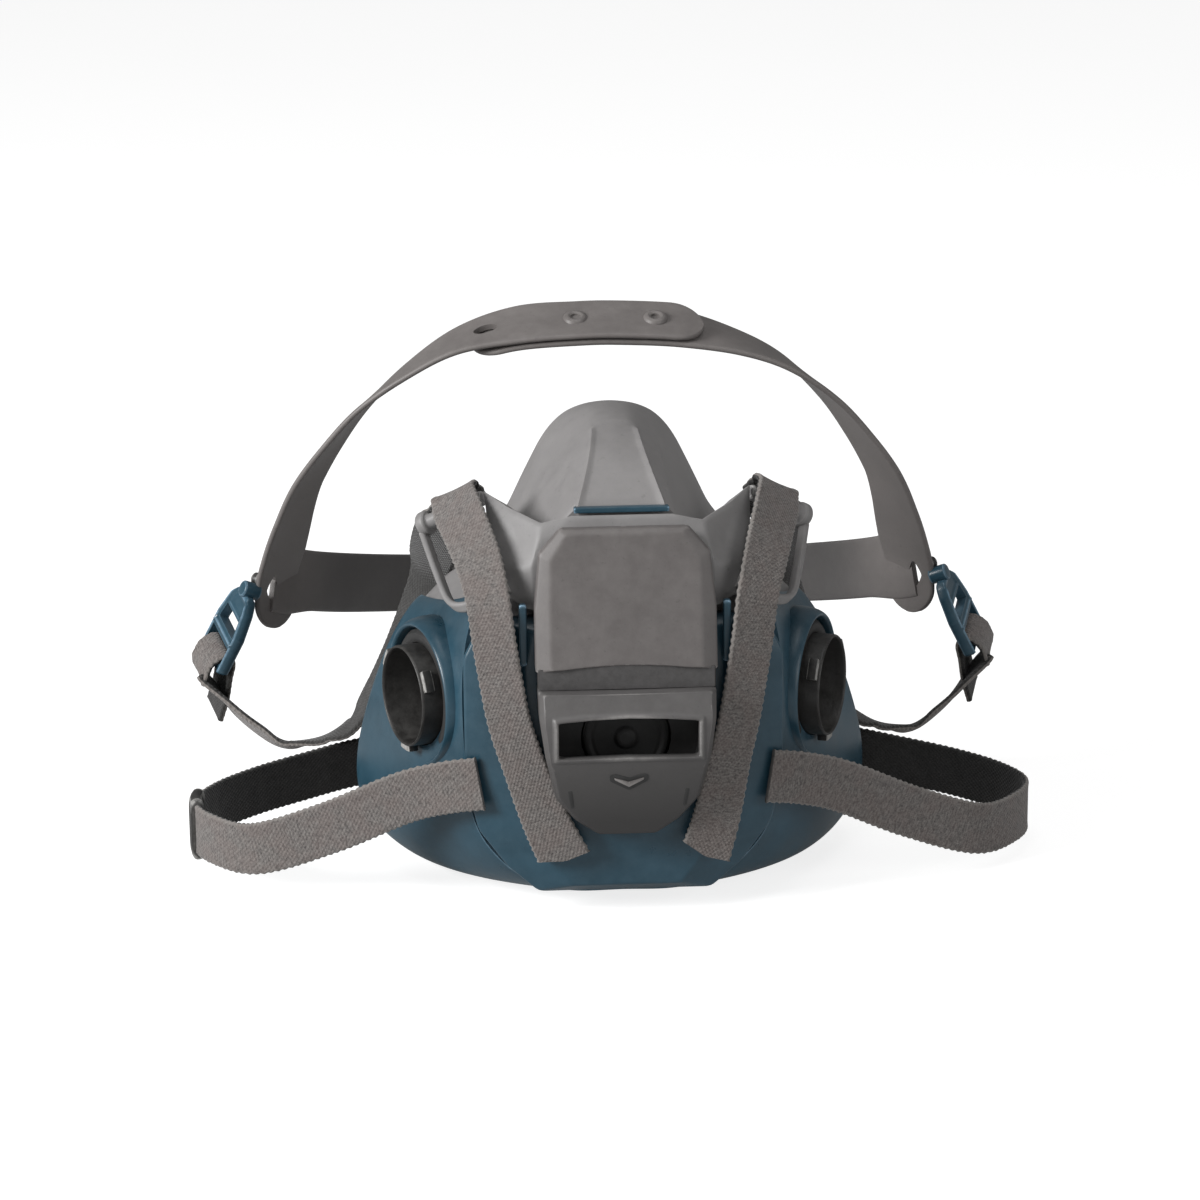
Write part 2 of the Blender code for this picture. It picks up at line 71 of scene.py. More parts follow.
# half outlines of the cup, nose to chin, at the rim, half way and at the front
RIM = [(0, 3, 67.4), (7, 3, 66.6), (13, 4, 64), (18.5, 6, 58), (24.3, 8, 46), (29.5, 9, 35),
       (40, 9, 22), (54, 9, 8), (63, 9, -5), (70.6, 9, -24), (74, 8, -40), (72, 6, -51),
       (65.5, 4, -58), (53, 3, -61), (26, 2, -62), (0, 2, -62)]
MID = [(0, -28, 64.5), (6.3, -28, 64.1), (13, -28, 58.5), (18, -28, 51), (23, -28, 43.5),
       (27, -28, 36), (35, -28, 26), (44, -28, 16), (50, -28, 4), (53, -28, -12),
       (56, -28, -30), (58, -27, -47), (55, -25, -57), (45, -26, -61.5), (24, -28, -62.3),
       (0, -28, -62.3)]
FRONT = [(0, -52, 49.5), (12.4, -52, 49.1), (14.6, -52, 47.0), (16.8, -52, 44.6), (19.4, -52, 41.4),
         (22, -52, 38), (26, -52, 33), (33, -52, 27), (39, -52, 18), (42, -52, 2),
         (42, -52, -22), (40, -52, -40), (33, -52, -51), (24, -52, -57), (13, -52, -59.5),
         (0, -52, -59.5)]


# ---------------------------------------------------------------- curves and grids

def unit(v):
    """Vectors divided by their lengths."""
    v = np.asarray(v, float)
    return v / np.maximum(np.linalg.norm(v, axis=-1, keepdims=True), 1e-12)


def ramp(x, low, high):
    """0 below low, 1 above high, and 3t^2 - 2t^3 between them."""
    t = np.clip((np.asarray(x, float) - low) / (high - low), 0, 1)
    return t * t * (3 - 2 * t)


def catmull(points, at):
    """Catmull-Rom curve through the points, read at fractional indices."""
    p = np.asarray(points, float)
    p = np.vstack([2 * p[0] - p[1], p, 2 * p[-1] - p[-2]])
    k = np.minimum(np.asarray(at).astype(int), len(p) - 4)
    t = (at - k)[:, None]
    a, b, c, d = p[k], p[k + 1], p[k + 2], p[k + 3]
    return 0.5 * (2 * b + (c - a) * t + (2 * a - 5 * b + 4 * c - d) * t ** 2
                  + (3 * b - a - 3 * c + d) * t ** 3)


class Course:
    """A curve with its own width direction, read by distance along it."""

    def __init__(self, path, across):
        rows = np.hstack([np.asarray(path, float), np.asarray(across, float)])
        fine = catmull(rows, np.linspace(0, len(rows) - 1, 60 * len(rows)))
        steps = np.linalg.norm(np.diff(fine[:, :3], axis=0), axis=1)
        self.run = np.concatenate([[0], np.cumsum(steps)])
        self.length = self.run[-1]
        along = unit(np.gradient(fine[:, :3], axis=0))
        wide = fine[:, 3:6] - along * np.sum(fine[:, 3:6] * along, axis=1)[:, None]
        wide = unit(wide)
        self.columns = np.hstack([fine[:, :3], wide, unit(np.cross(along, wide))])

    def read(self, s, first, last):
        """Columns first to last at distances s, of any shape."""
        s = np.asarray(s, float)
        out = [np.interp(s, self.run, self.columns[:, k]) for k in range(first, last)]
        return np.stack(out, axis=-1)

    def place(self, s, x, h):
        """Point at distance s, moved x along the width and h along the face normal."""
        s, x, h = np.broadcast_arrays(s, x, h)
        wide = unit(self.read(s, 3, 6))
        up = unit(self.read(s, 6, 9))
        return self.read(s, 0, 3) + wide * x[..., None] + up * h[..., None]


def eased(rows, radius, steps, which=None):
    """Rounds a sequence at the places in which: each is replaced by a quadratic Bezier that
    starts and ends a radius before and after it, with the place itself as its middle handle."""
    rows = np.asarray(rows, float)
    which = range(1, len(rows) - 1) if which is None else which
    out = [rows[0]]
    for k in range(1, len(rows) - 1):
        if k not in which:
            out.append(rows[k])
            continue
        ends = []
        for other in (rows[k - 1], rows[k + 1]):
            way = other - rows[k]
            far = np.maximum(np.linalg.norm(way, axis=-1, keepdims=True), 1e-9)
            ends.append(rows[k] + way * np.minimum(radius / far, 0.45))
        for t in np.linspace(0, 1, steps):
            out.append((1 - t) ** 2 * ends[0] + 2 * t * (1 - t) * rows[k] + t * t * ends[1])
    out.append(rows[-1])
    return np.array(out)


def rounded_loop(points, radius, steps=5):
    """Closed outline with every corner rounded."""
    p = np.asarray(points, float)
    p = np.vstack([p[-1], p, p[0]])
    return eased(p, radius, steps)[1:-1]


def both_halves(half):
    """Half outline and its mirror in x as one loop."""
    half = np.asarray(half, float)
    flip = np.ones(half.shape[1])
    flip[0] = -1
    tail = half[-2:0:-1] if abs(half[-1][0]) < 1e-9 else half[::-1][:-1]
    return np.vstack([half, tail * flip])


def blurred(ring, times):
    """A closed row of values or points, each mixed with its two neighbours as (1, 2, 1) / 4."""
    for _ in range(times):
        ring = (np.roll(ring, 1, axis=0) + 2 * ring + np.roll(ring, -1, axis=0)) / 4
    return ring


def star(outline, centre, count=360, blur=1):
    """Outline of (x, z) as one point per equal angle round the centre: the far crossing of
    each ray, with the radii blurred by (1, 2, 1)."""
    p = np.asarray(outline, float) - centre
    q = np.roll(p, -1, axis=0)
    turn = 2 * np.pi * (np.arange(count) + 0.5) / count
    ray = np.stack([np.cos(turn), np.sin(turn)], axis=1)
    edge = q - p
    cross = ray[:, None, 0] * edge[None, :, 1] - ray[:, None, 1] * edge[None, :, 0]
    cross = np.where(np.abs(cross) < 1e-12, 1e-12, cross)
    far = (p[None, :, 0] * edge[None, :, 1] - p[None, :, 1] * edge[None, :, 0]) / cross
    part = (p[None, :, 0] * ray[:, None, 1] - p[None, :, 1] * ray[:, None, 0]) / cross
    good = (part >= -1e-9) & (part <= 1 + 1e-9) & (far > 0)
    radius = blurred(np.where(good, far, 0).max(axis=1), blur)
    return ray * radius[:, None] + centre


def with_depth(loop, depth):
    """(x, z) loop as (x, y, z) points, y from a function of x and z or a number."""
    loop = np.asarray(loop, float)
    y = depth(loop[:, 0], loop[:, 1]) if callable(depth) else np.full(len(loop), float(depth))
    return np.stack([loop[:, 0], y, loop[:, 1]], axis=1)


def mesh_grid(points, loop_rows=False):
    """Quads between neighbouring points of a grid, closed round its columns, and round its
    rows if asked."""
    rows, cols = points.shape[:2]
    index = np.arange(rows * cols).reshape(rows, cols)
    if loop_rows:
        index = np.vstack([index, index[:1]])
    index = np.hstack([index, index[:, :1]])
    a, b, c, d = index[:-1, :-1], index[:-1, 1:], index[1:, 1:], index[1:, :-1]
    return points.reshape(-1, 3), np.stack([a, b, c, d], axis=-1).reshape(-1, 4).tolist()


def walled(front, back, keep=None, loop=False):
    """Closed solid between two equal grids: both faces of the kept cells, and a wall along
    every border between a kept cell and a missing one."""
    rows, cols = front.shape[:2]
    size = rows * cols
    index = np.arange(size).reshape(rows, cols)
    if loop:
        index = np.hstack([index, index[:, :1]])
    a, b, c, d = index[:-1, :-1], index[:-1, 1:], index[1:, 1:], index[1:, :-1]
    keep = np.ones(a.shape, bool) if keep is None else keep
    quads = [np.stack([a, b, c, d], axis=-1)[keep]]
    quads.append(quads[0][:, ::-1] + size)
    padded = np.pad(keep, 1)
    if loop:
        padded[1:-1, 0] = keep[:, -1]
        padded[1:-1, -1] = keep[:, 0]
    near = [(a, b, padded[:-2, 1:-1]), (b, c, padded[1:-1, 2:]), (c, d, padded[2:, 1:-1]),
            (d, a, padded[1:-1, :-2])]
    for p, q, beside in near:
        edge = keep & ~beside
        p, q = p[edge], q[edge]
        quads.append(np.stack([q, p, p + size, q + size], axis=-1))
    points = np.concatenate([front.reshape(-1, 3), back.reshape(-1, 3)])
    return points, np.concatenate(quads).tolist()


def hole_border(keep, rows, cols):
    """Grid points that touch both a kept and a missing cell inside the grid."""
    some = np.zeros((rows, cols), bool)
    gone = np.zeros((rows, cols), bool)
    wide = keep.shape[1]
    for dr in (0, 1):
        for dc in (0, 1):
            col = (np.arange(wide) + dc) % cols
            for target, cells in ((some, keep), (gone, ~keep)):
                view = target[dr:dr + keep.shape[0]]
                view[:, col] |= cells
    return some & gone


class Skin:
    """Closed surfaces in millimetres that will be one piece."""

    def __init__(self):
        self.points, self.faces, self.cloth, self.inner = [], [], [], []
        self.count = 0

    def add(self, surface, cloth=None, inner=None):
        """Takes points and faces, turned outwards by the sign of their volume."""
        points, faces = surface
        used = np.unique(np.concatenate([np.asarray(f) for f in faces]))
        renumber = np.full(len(points), -1)
        renumber[used] = np.arange(len(used))
        tris = np.array([(f[0], f[k], f[k + 1]) for f in faces for k in range(1, len(f) - 1)])
        a, b, c = points[tris[:, 0]], points[tris[:, 1]], points[tris[:, 2]]
        if np.sum(a * np.cross(b, c)) < 0:
            faces = [f[::-1] for f in faces]
        self.faces += [[int(renumber[k]) + self.count for k in f] for f in faces]
        self.points.append(points[used])
        self.cloth.append(np.zeros((len(used), 2)) if cloth is None else cloth.reshape(-1, 2)[used])
        self.inner.append(np.zeros(len(used)) if inner is None else inner.reshape(-1)[used])
        self.count += len(used)


def capped(points):
    """Grid with looped columns whose first and last rows are filled."""
    rows, cols = points.shape[:2]
    flat, faces = mesh_grid(points)
    faces.append(list(range(cols))[::-1])
    faces.append(list(range((rows - 1) * cols, rows * cols)))
    return flat, faces


def turned(profile, centre, axis, count=96, closed=True):
    """Body of revolution: each (radius, distance) of the profile carried round the axis."""
    profile = np.asarray(profile, float)
    turn = 2 * np.pi * np.arange(count) / count
    turn_to = np.array(Vector(axis).normalized().to_track_quat("Z", "Y").to_matrix())
    ring = np.stack([np.cos(turn), np.sin(turn), np.zeros(count)], axis=1)
    rise = np.array([0, 0, 1.0])
    points = profile[:, None, :1] * ring + profile[:, None, 1:] * rise
    points = points @ turn_to.T + np.asarray(centre, float)
    return mesh_grid(points, loop_rows=True) if closed else capped(points)


def lathe(profile, rounding, centre, axis, count, closed=False):
    """A skin of one body of revolution, its profile eased by (radius, steps)."""
    skin = Skin()
    skin.add(turned(eased(profile, *rounding), centre, axis, count, closed))
    return skin


def block(low, high, radius=0.6):
    """Box with rounded edges: a rounded rectangle in x and z, carried along y with eased ends."""
    (x0, y0, z0), (x1, y1, z1) = low, high
    ring = rounded_loop([(x0, z0), (x1, z0), (x1, z1), (x0, z1)], radius, 6)
    mid = ring.mean(axis=0)
    scale = 1 - radius / np.abs(ring - mid).max(axis=0)
    small = (ring - mid) * scale + mid
    rows = [with_depth(loop, y) for loop, y in ((small, y0), (ring, y0), (ring, y1), (small, y1))]
    return capped(eased(rows, radius, 5))


def shrunk(loop, share):
    """A loop drawn in towards its own middle."""
    middle = loop.mean(axis=0)
    return (loop - middle) * share + middle


# ---------------------------------------------------------------- pieces

def piece(name, skin, finish, body="mask", stands_for=(), crease=40):
    """One object from a skin: mesh in metres, cloth coordinates as its UV map, a mark for the
    inner face, and an edge attribute that is the local convexity of the surface."""
    mesh = bpy.data.meshes.new(name)
    points = np.concatenate(skin.points) * MM
    mesh.from_pydata(points.tolist(), [], skin.faces)
    mesh.validate()
    mesh.shade_smooth()
    mesh.set_sharp_from_angle(angle=math.radians(crease))
    total = len(mesh.vertices)
    normal = np.zeros(total * 3)
    mesh.vertex_normals.foreach_get("vector", normal)
    normal = normal.reshape(-1, 3)
    pairs = np.zeros(len(mesh.edges) * 2, int)
    mesh.edges.foreach_get("vertices", pairs)
    pairs = pairs.reshape(-1, 2)
    way = (points[pairs[:, 0]] - points[pairs[:, 1]]) / MM
    lean = np.zeros((total, 3))
    span = np.zeros(total)
    np.add.at(lean, pairs[:, 0], way)
    np.add.at(lean, pairs[:, 1], -way)
    np.add.at(span, pairs[:, 0], np.sum(way * way, axis=1))
    np.add.at(span, pairs[:, 1], np.sum(way * way, axis=1))
    bend = np.sum(lean * normal, axis=1) / np.maximum(span, 1e-6)
    edge = mesh.attributes.new("edge", "FLOAT", "POINT")
    edge.data.foreach_set("value", ramp(bend, 0.1, 0.5).astype(np.float32))
    inner = mesh.attributes.new("inner", "FLOAT", "POINT")
    inner.data.foreach_set("value", np.concatenate(skin.inner).astype(np.float32))
    loops = np.zeros(len(mesh.loops), int)
    mesh.loops.foreach_get("vertex_index", loops)
    cloth = mesh.uv_layers.new(name="cloth")
    cloth.data.foreach_set("uv", np.concatenate(skin.cloth)[loops].astype(np.float32).ravel())
    mesh.materials.append(finish)
    obj = bpy.data.objects.new(name, mesh)
    bpy.context.scene.collection.objects.link(obj)
    if isinstance(body, str):
        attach(obj, body)
    else:
        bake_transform(obj)
    if stands_for:
        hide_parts(*stands_for)
    return obj


def strap(course, width, thick, step=0.6, fringe=0.0, cut=(0.0, 0.0), rounded=(0.0, 0.0),
          low=None, high=None, holes=(), swell=0.0):
    """Band: at distance s and place u from -1 to 1 across, the point lies u times the half width
    from the course, on a section with half-round edges. Fringe is a zigzag of the edges, cut
    slants an end, rounded gives an end a half round of that radius, and low and high replace
    the two edges by functions of s. A hole is (s, x, half length, half width, power)."""
    end = course.length
    rows = max(int(end / step), 4)
    s = np.linspace(0, end, rows)
    edge_r = thick / 2
    flat = np.linspace(-1, 1, max(int(width / (1.4 if not holes else 0.7)), 6))[1:-1]
    lo = -width / 2 * np.ones(rows) if low is None else low(s)
    hi = width / 2 * np.ones(rows) if high is None else high(s)
    for k, r in enumerate(rounded):
        if r:
            far = s if k == 0 else (end - s)
            half = np.sqrt(np.maximum(r * r - np.maximum(r - far - 0.12, 0) ** 2, 0.01)) / r
            centre = (lo + hi) / 2
            lo, hi = centre + (lo - centre) * half, centre + (hi - centre) * half
    span = (hi - lo)[:, None]
    inset = np.minimum(edge_r, span / 2 * 0.9)
    left = lo[:, None] + inset * (1 - np.cos(np.linspace(0, np.pi / 2, 5)))[None]
    right = hi[:, None] - inset * (1 - np.cos(np.linspace(np.pi / 2, 0, 5)))[None]
    middle = (lo + hi)[:, None] / 2 + (span / 2 - inset) * flat[None]
    x = np.hstack([left, middle, right])
    rise = np.concatenate([np.sin(np.linspace(0, np.pi / 2, 5)), np.ones(len(flat)),
                           np.sin(np.linspace(np.pi / 2, 0, 5))])
    rise[0] = rise[-1] = 0.12
    cols = x.shape[1]
    grid_s = np.broadcast_to(s[:, None], (rows, cols)).copy()
    chart = (x - (lo + hi)[:, None] / 2) / (span / 2) * width / 2
    if fringe:
        side = ramp(np.abs(chart), width / 2 - 1.2, width / 2) * np.sign(chart)
        phase = np.abs(((s / 2.1) % 1.0) * 2 - 1)
        x = x + side * fringe * (phase[:, None] - 0.5)
    for k, slant in enumerate(cut):
        if slant:
            fade = ramp(s if k == 0 else (end - s), 18, 0)
            grid_s = grid_s + x * slant * fade[:, None]
    keep = np.ones((rows - 1, cols - 1), bool)
    mid_s = (grid_s[:-1, :-1] + grid_s[1:, 1:]) / 2
    mid_x = (x[:-1, :-1] + x[1:, 1:]) / 2
    reach = lambda s, x: np.abs((s - at) / long) ** power + np.abs((x - across) / wide) ** power
    for at, across, long, wide, power in holes:
        keep &= reach(mid_s, mid_x) > 1
    if holes:
        border = hole_border(keep, rows, cols)
        for at, across, long, wide, power in holes:
            far = reach(grid_s, x) ** (1 / power)
            near = border & (far < 2.2)
            grid_s = np.where(near, at + (grid_s - at) / far, grid_s)
            x = np.where(near, across + (x - across) / far, x)
    thickness = thick / 2 * rise[None] * np.ones((rows, 1))
    if swell:
        thickness = thickness * (1 + swell * ramp(np.abs(x), width / 2 - 2.4, width / 2 - 1.4))
    top = course.place(grid_s, x, thickness)
    under = course.place(grid_s, x, -thickness)
    cloth = np.stack([chart, grid_s], axis=-1)
    surface = walled(top, under, keep)
    inner = np.concatenate([np.zeros(rows * cols), np.ones(rows * cols)])
    return surface, np.concatenate([cloth.reshape(-1, 2)] * 2), inner


def side_of(points, side):
    """Points with x times the side."""
    return np.asarray(points, float) * (side, 1, 1)


# ---------------------------------------------------------------- finishes

def joined(tree, target, value):
    """Sets a socket, or links another socket to it."""
    if isinstance(value, bpy.types.NodeSocket):
        tree.links.new(value, target)
    elif value is not None:
        if target.type == "RGBA" and len(value) == 3:
            value = (*value, 1.0)
        target.default_value = value


def node(tree, kind, inputs=(), **settings):
    """A node with its settings and inputs, given as (name or number, value or socket)."""
    made = tree.nodes.new(kind)
    for key, value in settings.items():
        setattr(made, key, value)
    for key, value in inputs:
        joined(tree, made.inputs[key], value)
    return made


def maths(tree, operation, a, b=0.0, c=0.0):
    """One Math node's result."""
    return node(tree, "ShaderNodeMath", ((0, a), (1, b), (2, c)), operation=operation).outputs[0]


def blended(tree, amount, a, b):
    """Two colours mixed by an amount."""
    return node(tree, "ShaderNodeMix", ((0, amount), (6, a), (7, b)), data_type="RGBA").outputs[2]


def spread(tree, value, low, high, to_low=0.0, to_high=1.0):
    """Value carried from one range to another, held at its ends."""
    ends = ((0, value), (1, low), (2, high), (3, to_low), (4, to_high))
    return node(tree, "ShaderNodeMapRange", ends).outputs[0]


def noise(tree, vector, scale, detail=3.0, rough=0.55):
    """Noise value at a scale per metre."""
    given = (("Vector", vector), ("Scale", scale), ("Detail", detail), ("Roughness", rough))
    return node(tree, "ShaderNodeTexNoise", given).outputs[0]


def marked(tree, attribute):
    """A piece's own attribute as a value."""
    return node(tree, "ShaderNodeAttribute", attribute_name=attribute).outputs["Fac"]


def raised(tree, shader, height, strength, distance):
    """A height, bumped, as the shader's normal."""
    given = (("Strength", strength), ("Distance", distance), ("Height", height))
    joined(tree, shader.inputs["Normal"], node(tree, "ShaderNodeBump", given).outputs[0])


def group(name, inputs, outputs):
    """An empty node group with named sockets, and its two end nodes."""
    tree = bpy.data.node_groups.new(name, "ShaderNodeTree")
    for label, kind, value in inputs:
        socket = tree.interface.new_socket(name=label, in_out="INPUT", socket_type=kind)
        if value is not None:
            socket.default_value = value
    for label, kind in outputs:
        tree.interface.new_socket(name=label, in_out="OUTPUT", socket_type=kind)
    return tree, tree.nodes.new("NodeGroupInput"), tree.nodes.new("NodeGroupOutput")


FLOAT, VECTOR = "NodeSocketFloat", "NodeSocketVector"
WARP_PITCH, WEFT_PITCH = 0.62, 0.8


def make_grain():
    """Moulded grain: fine noise for the height, broad clouds for the tone, and rare specks."""
    tree, come, go = group("moulded_grain", [("Vector", VECTOR, None), ("Fine", FLOAT, 2500.0),
                                             ("Broad", FLOAT, 60.0)],
                           [("Height", FLOAT), ("Tone", FLOAT), ("Speck", FLOAT)])
    fine = noise(tree, come.outputs["Vector"], come.outputs["Fine"], 4.0, 0.6)
    broad = noise(tree, come.outputs["Vector"], come.outputs["Broad"], 5.0, 0.6)
    pits = noise(tree, come.outputs["Vector"], maths(tree, "MULTIPLY", come.outputs["Fine"], 0.35), 2.0)
    joined(tree, go.inputs["Height"], maths(tree, "MULTIPLY_ADD", pits, 0.5, fine))
    joined(tree, go.inputs["Tone"], spread(tree, broad, 0.3, 0.7))
    joined(tree, go.inputs["Speck"], spread(tree, pits, 0.66, 0.74))
    return tree


def make_wear_and_highlight():
    """Rubbed edges and painted highlight on convex edges: the edge mark times a broken noise."""
    tree, come, go = group("rubbed_edge_and_highlight", [("Vector", VECTOR, None), ("Edge", FLOAT, 0.0),
                                           ("Amount", FLOAT, 0.5)], [("Mask", FLOAT)])
    broken = spread(tree, noise(tree, come.outputs["Vector"], 420.0, 5.0, 0.7), 0.3, 0.62, 0.35, 1.0)
    mask = maths(tree, "MULTIPLY", come.outputs["Edge"], broken)
    joined(tree, go.inputs["Mask"], maths(tree, "MULTIPLY", mask, come.outputs["Amount"]))
    return tree


def make_dust():
    """Dust: a cloud of noise, strongest on faces that look up."""
    tree, come, go = group("settled_dust", [("Vector", VECTOR, None), ("Amount", FLOAT, 0.1)],
                           [("Mask", FLOAT)])
    face = node(tree, "ShaderNodeNewGeometry")
    up = node(tree, "ShaderNodeSeparateXYZ", ((0, face.outputs["Normal"]),)).outputs[2]
    cloud = spread(tree, noise(tree, come.outputs["Vector"], 240.0, 6.0, 0.7), 0.38, 0.72)
    lying = spread(tree, up, -0.3, 1.0, 0.25, 1.0)
    mask = maths(tree, "MULTIPLY", cloud, lying)
    joined(tree, go.inputs["Mask"], maths(tree, "MULTIPLY", mask, come.outputs["Amount"]))
    return tree


def make_weave():
    """Narrow webbing: the height is a chequer of sine humps, one per crossing of warp and weft,
    the tone a stretched noise thread by thread, and the border a mask of the two edges."""
    tree, come, go = group("webbing_weave", [("Vector", VECTOR, None), ("Half", FLOAT, 7.5)],
                           [("Height", FLOAT), ("Tone", FLOAT), ("Border", FLOAT), ("Thread", FLOAT)])
    parts = node(tree, "ShaderNodeSeparateXYZ", ((0, come.outputs["Vector"]),))
    x, y = parts.outputs[0], parts.outputs[1]
    warp = maths(tree, "SINE", maths(tree, "MULTIPLY", x, math.pi / WARP_PITCH))
    weft = maths(tree, "SINE", maths(tree, "MULTIPLY", y, math.pi / WEFT_PITCH))
    humps = maths(tree, "MULTIPLY", warp, weft)
    fuzz = noise(tree, come.outputs["Vector"], 5.0, 3.0, 0.7)
    height = maths(tree, "MULTIPLY_ADD", fuzz, 1.2, humps)
    beyond = maths(tree, "SUBTRACT", maths(tree, "ABSOLUTE", x), come.outputs["Half"])
    long = node(tree, "ShaderNodeMapping", ((0, come.outputs["Vector"]), ("Scale", (1.5, 0.75, 1.0))))
    tone = noise(tree, long.outputs[0], 1.25, 3.0, 0.75)
    wide = node(tree, "ShaderNodeMapping", ((0, come.outputs["Vector"]), ("Scale", (0.5, 1.6, 1.0))))
    other = noise(tree, wide.outputs[0], 1.1, 2.0, 0.7)
    joined(tree, go.inputs["Height"], height)
    joined(tree, go.inputs["Tone"], spread(tree, tone, 0.34, 0.66))
    joined(tree, go.inputs["Border"], spread(tree, beyond, -0.9, -0.1))
    joined(tree, go.inputs["Thread"], spread(tree, other, 0.36, 0.64))
    return tree


GRAIN, WEAR_AND_HIGHLIGHT, DUST, WEAVE = make_grain(), make_wear_and_highlight(), make_dust(), make_weave()
DUST_COLOUR, LINT_COLOUR = (0.42, 0.41, 0.39), (0.4, 0.39, 0.38)
GRAIN_DEPTH, WEAVE_DEPTH = 0.00012, 0.00016


def new_material(name):
    """A material with its tree, its Principled shader and its object coordinates."""
    mat = bpy.data.materials.new(name)
    mat.use_nodes = True
    tree = mat.node_tree
    return mat, tree, tree.nodes["Principled BSDF"], node(tree, "ShaderNodeTexCoord").outputs["Object"]


def use(tree, grouped, **inputs):
    """One placed copy of a node group."""
    made = node(tree, "ShaderNodeGroup", node_tree=grouped)
    for key, value in inputs.items():
        joined(tree, made.inputs[key], value)
    return made.outputs


def moulded(name, colour, rough, vary=0.12, edge_colour=None, worn_and_highlit=0.5, dust=0.12, bump=0.25,
            fine=2500.0, inner=None, metal=0.0, shade=None):
    """Moulded plastic or rubber: cloudy colour, grain in the normal, pale edges that are partly rubbed wear and
    partly painted highlight, dust, and an inner colour of painted shade.
    Shade is a pair of heights in metres: painted shade darkens the colour from the first to the second."""
    mat, tree, shader, where = new_material(name)
    grain = use(tree, GRAIN, Vector=where, Fine=fine)
    colour = np.array(colour)
    base = blended(tree, grain["Tone"], tuple(colour * (1 - vary)), tuple(colour * (1 + vary)))
    if inner is not None:
        base = blended(tree, marked(tree, "inner"), base, inner)
    # painted highlight: convex edges turn pale, partly rubbed wear and partly light caught along the edges
    rubbed_and_highlit = use(tree, WEAR_AND_HIGHLIGHT, Vector=where, Edge=marked(tree, "edge"), Amount=worn_and_highlit)["Mask"]
    pale = tuple(np.clip(colour * 2.2 + 0.03, 0, 1)) if edge_colour is None else edge_colour
    base = blended(tree, rubbed_and_highlit, base, pale)
    settled = use(tree, DUST, Vector=where, Amount=dust)["Mask"]
    base = blended(tree, settled, base, DUST_COLOUR)
    if shade is not None:
        # painted shade: the colour darkens towards the bottom
        height = node(tree, "ShaderNodeSeparateXYZ", ((0, where),)).outputs[2]
        base = blended(tree, spread(tree, height, *shade), base, tuple(colour * 0.36))
    base = blended(tree, maths(tree, "MULTIPLY", grain["Speck"], 0.25), base, tuple(colour * 0.45))
    joined(tree, shader.inputs["Base Color"], base)
    gloss = spread(tree, grain["Tone"], 0.0, 1.0, rough - 0.06, rough + 0.08)
    gloss = maths(tree, "MULTIPLY_ADD", settled, 0.3, gloss)
    joined(tree, shader.inputs["Roughness"], gloss)
    shader.inputs["Metallic"].default_value = metal
    raised(tree, shader, grain["Height"], bump, GRAIN_DEPTH)
    return mat


def webbing(name, dark, mid, light, border, inner):
    """Melange webbing: three thread colours by noise, pale edges that are partly painted highlight, painted shade
    on the inner face and a weave.
    """
    mat, tree, shader, where = new_material(name)
    chart = node(tree, "ShaderNodeUVMap", uv_map="cloth").outputs[0]
    weave = use(tree, WEAVE, Vector=chart)
    base = blended(tree, weave["Tone"], dark, mid)
    base = blended(tree, maths(tree, "MULTIPLY", weave["Thread"], 0.55), base, light)
    warm = spread(tree, noise(tree, where, 160.0, 3.0), 0.4, 0.6)
    base = blended(tree, maths(tree, "MULTIPLY", warm, 0.25), base,
                   tuple(np.array(mid) * (1.25, 1.0, 0.95)))
    # pale edges: partly the edge threads' own colour, partly painted highlight where the edges catch the light
    base = blended(tree, maths(tree, "MULTIPLY", weave["Border"], 0.5), base, border)
    # painted shade: the inner face takes a dark copy of the thread tone
    shadow = blended(tree, weave["Tone"], tuple(np.array(inner) * 0.7), inner)
    base = blended(tree, marked(tree, "inner"), base, shadow)
    settled = use(tree, DUST, Vector=where, Amount=0.1)["Mask"]
    base = blended(tree, settled, base, LINT_COLOUR)
    joined(tree, shader.inputs["Base Color"], base)
    joined(tree, shader.inputs["Roughness"], spread(tree, weave["Thread"], 0.0, 1.0, 0.78, 0.95))
    shader.inputs["Sheen Weight"].default_value = 0.25
    shader.inputs["Sheen Roughness"].default_value = 0.5
    raised(tree, shader, weave["Height"], 0.6, WEAVE_DEPTH)
    return mat


# the pale edge colours below are partly rubbed wear and partly painted highlight on convex edges
silicone = moulded("silicone_grey", (0.215, 0.207, 0.206), 0.5, vary=0.06, worn_and_highlit=0.3, bump=0.12,
                   fine=1800.0, edge_colour=(0.4, 0.39, 0.38), dust=0.08)
blue = moulded("shell_blue", (0.017, 0.056, 0.084), 0.32, vary=0.2, worn_and_highlit=0.8, bump=0.2,
               edge_colour=(0.24, 0.38, 0.5), dust=0.05)
warm_grey = moulded("cover_grey", (0.118, 0.108, 0.105), 0.5, vary=0.07, worn_and_highlit=0.5, bump=0.25,
                    edge_colour=(0.36, 0.34, 0.33), dust=0.1)
ear_grey = moulded("ear_grey", (0.2, 0.194, 0.193), 0.5, vary=0.06, worn_and_highlit=0.6, bump=0.2,
                   edge_colour=(0.55, 0.54, 0.52), dust=0.1)
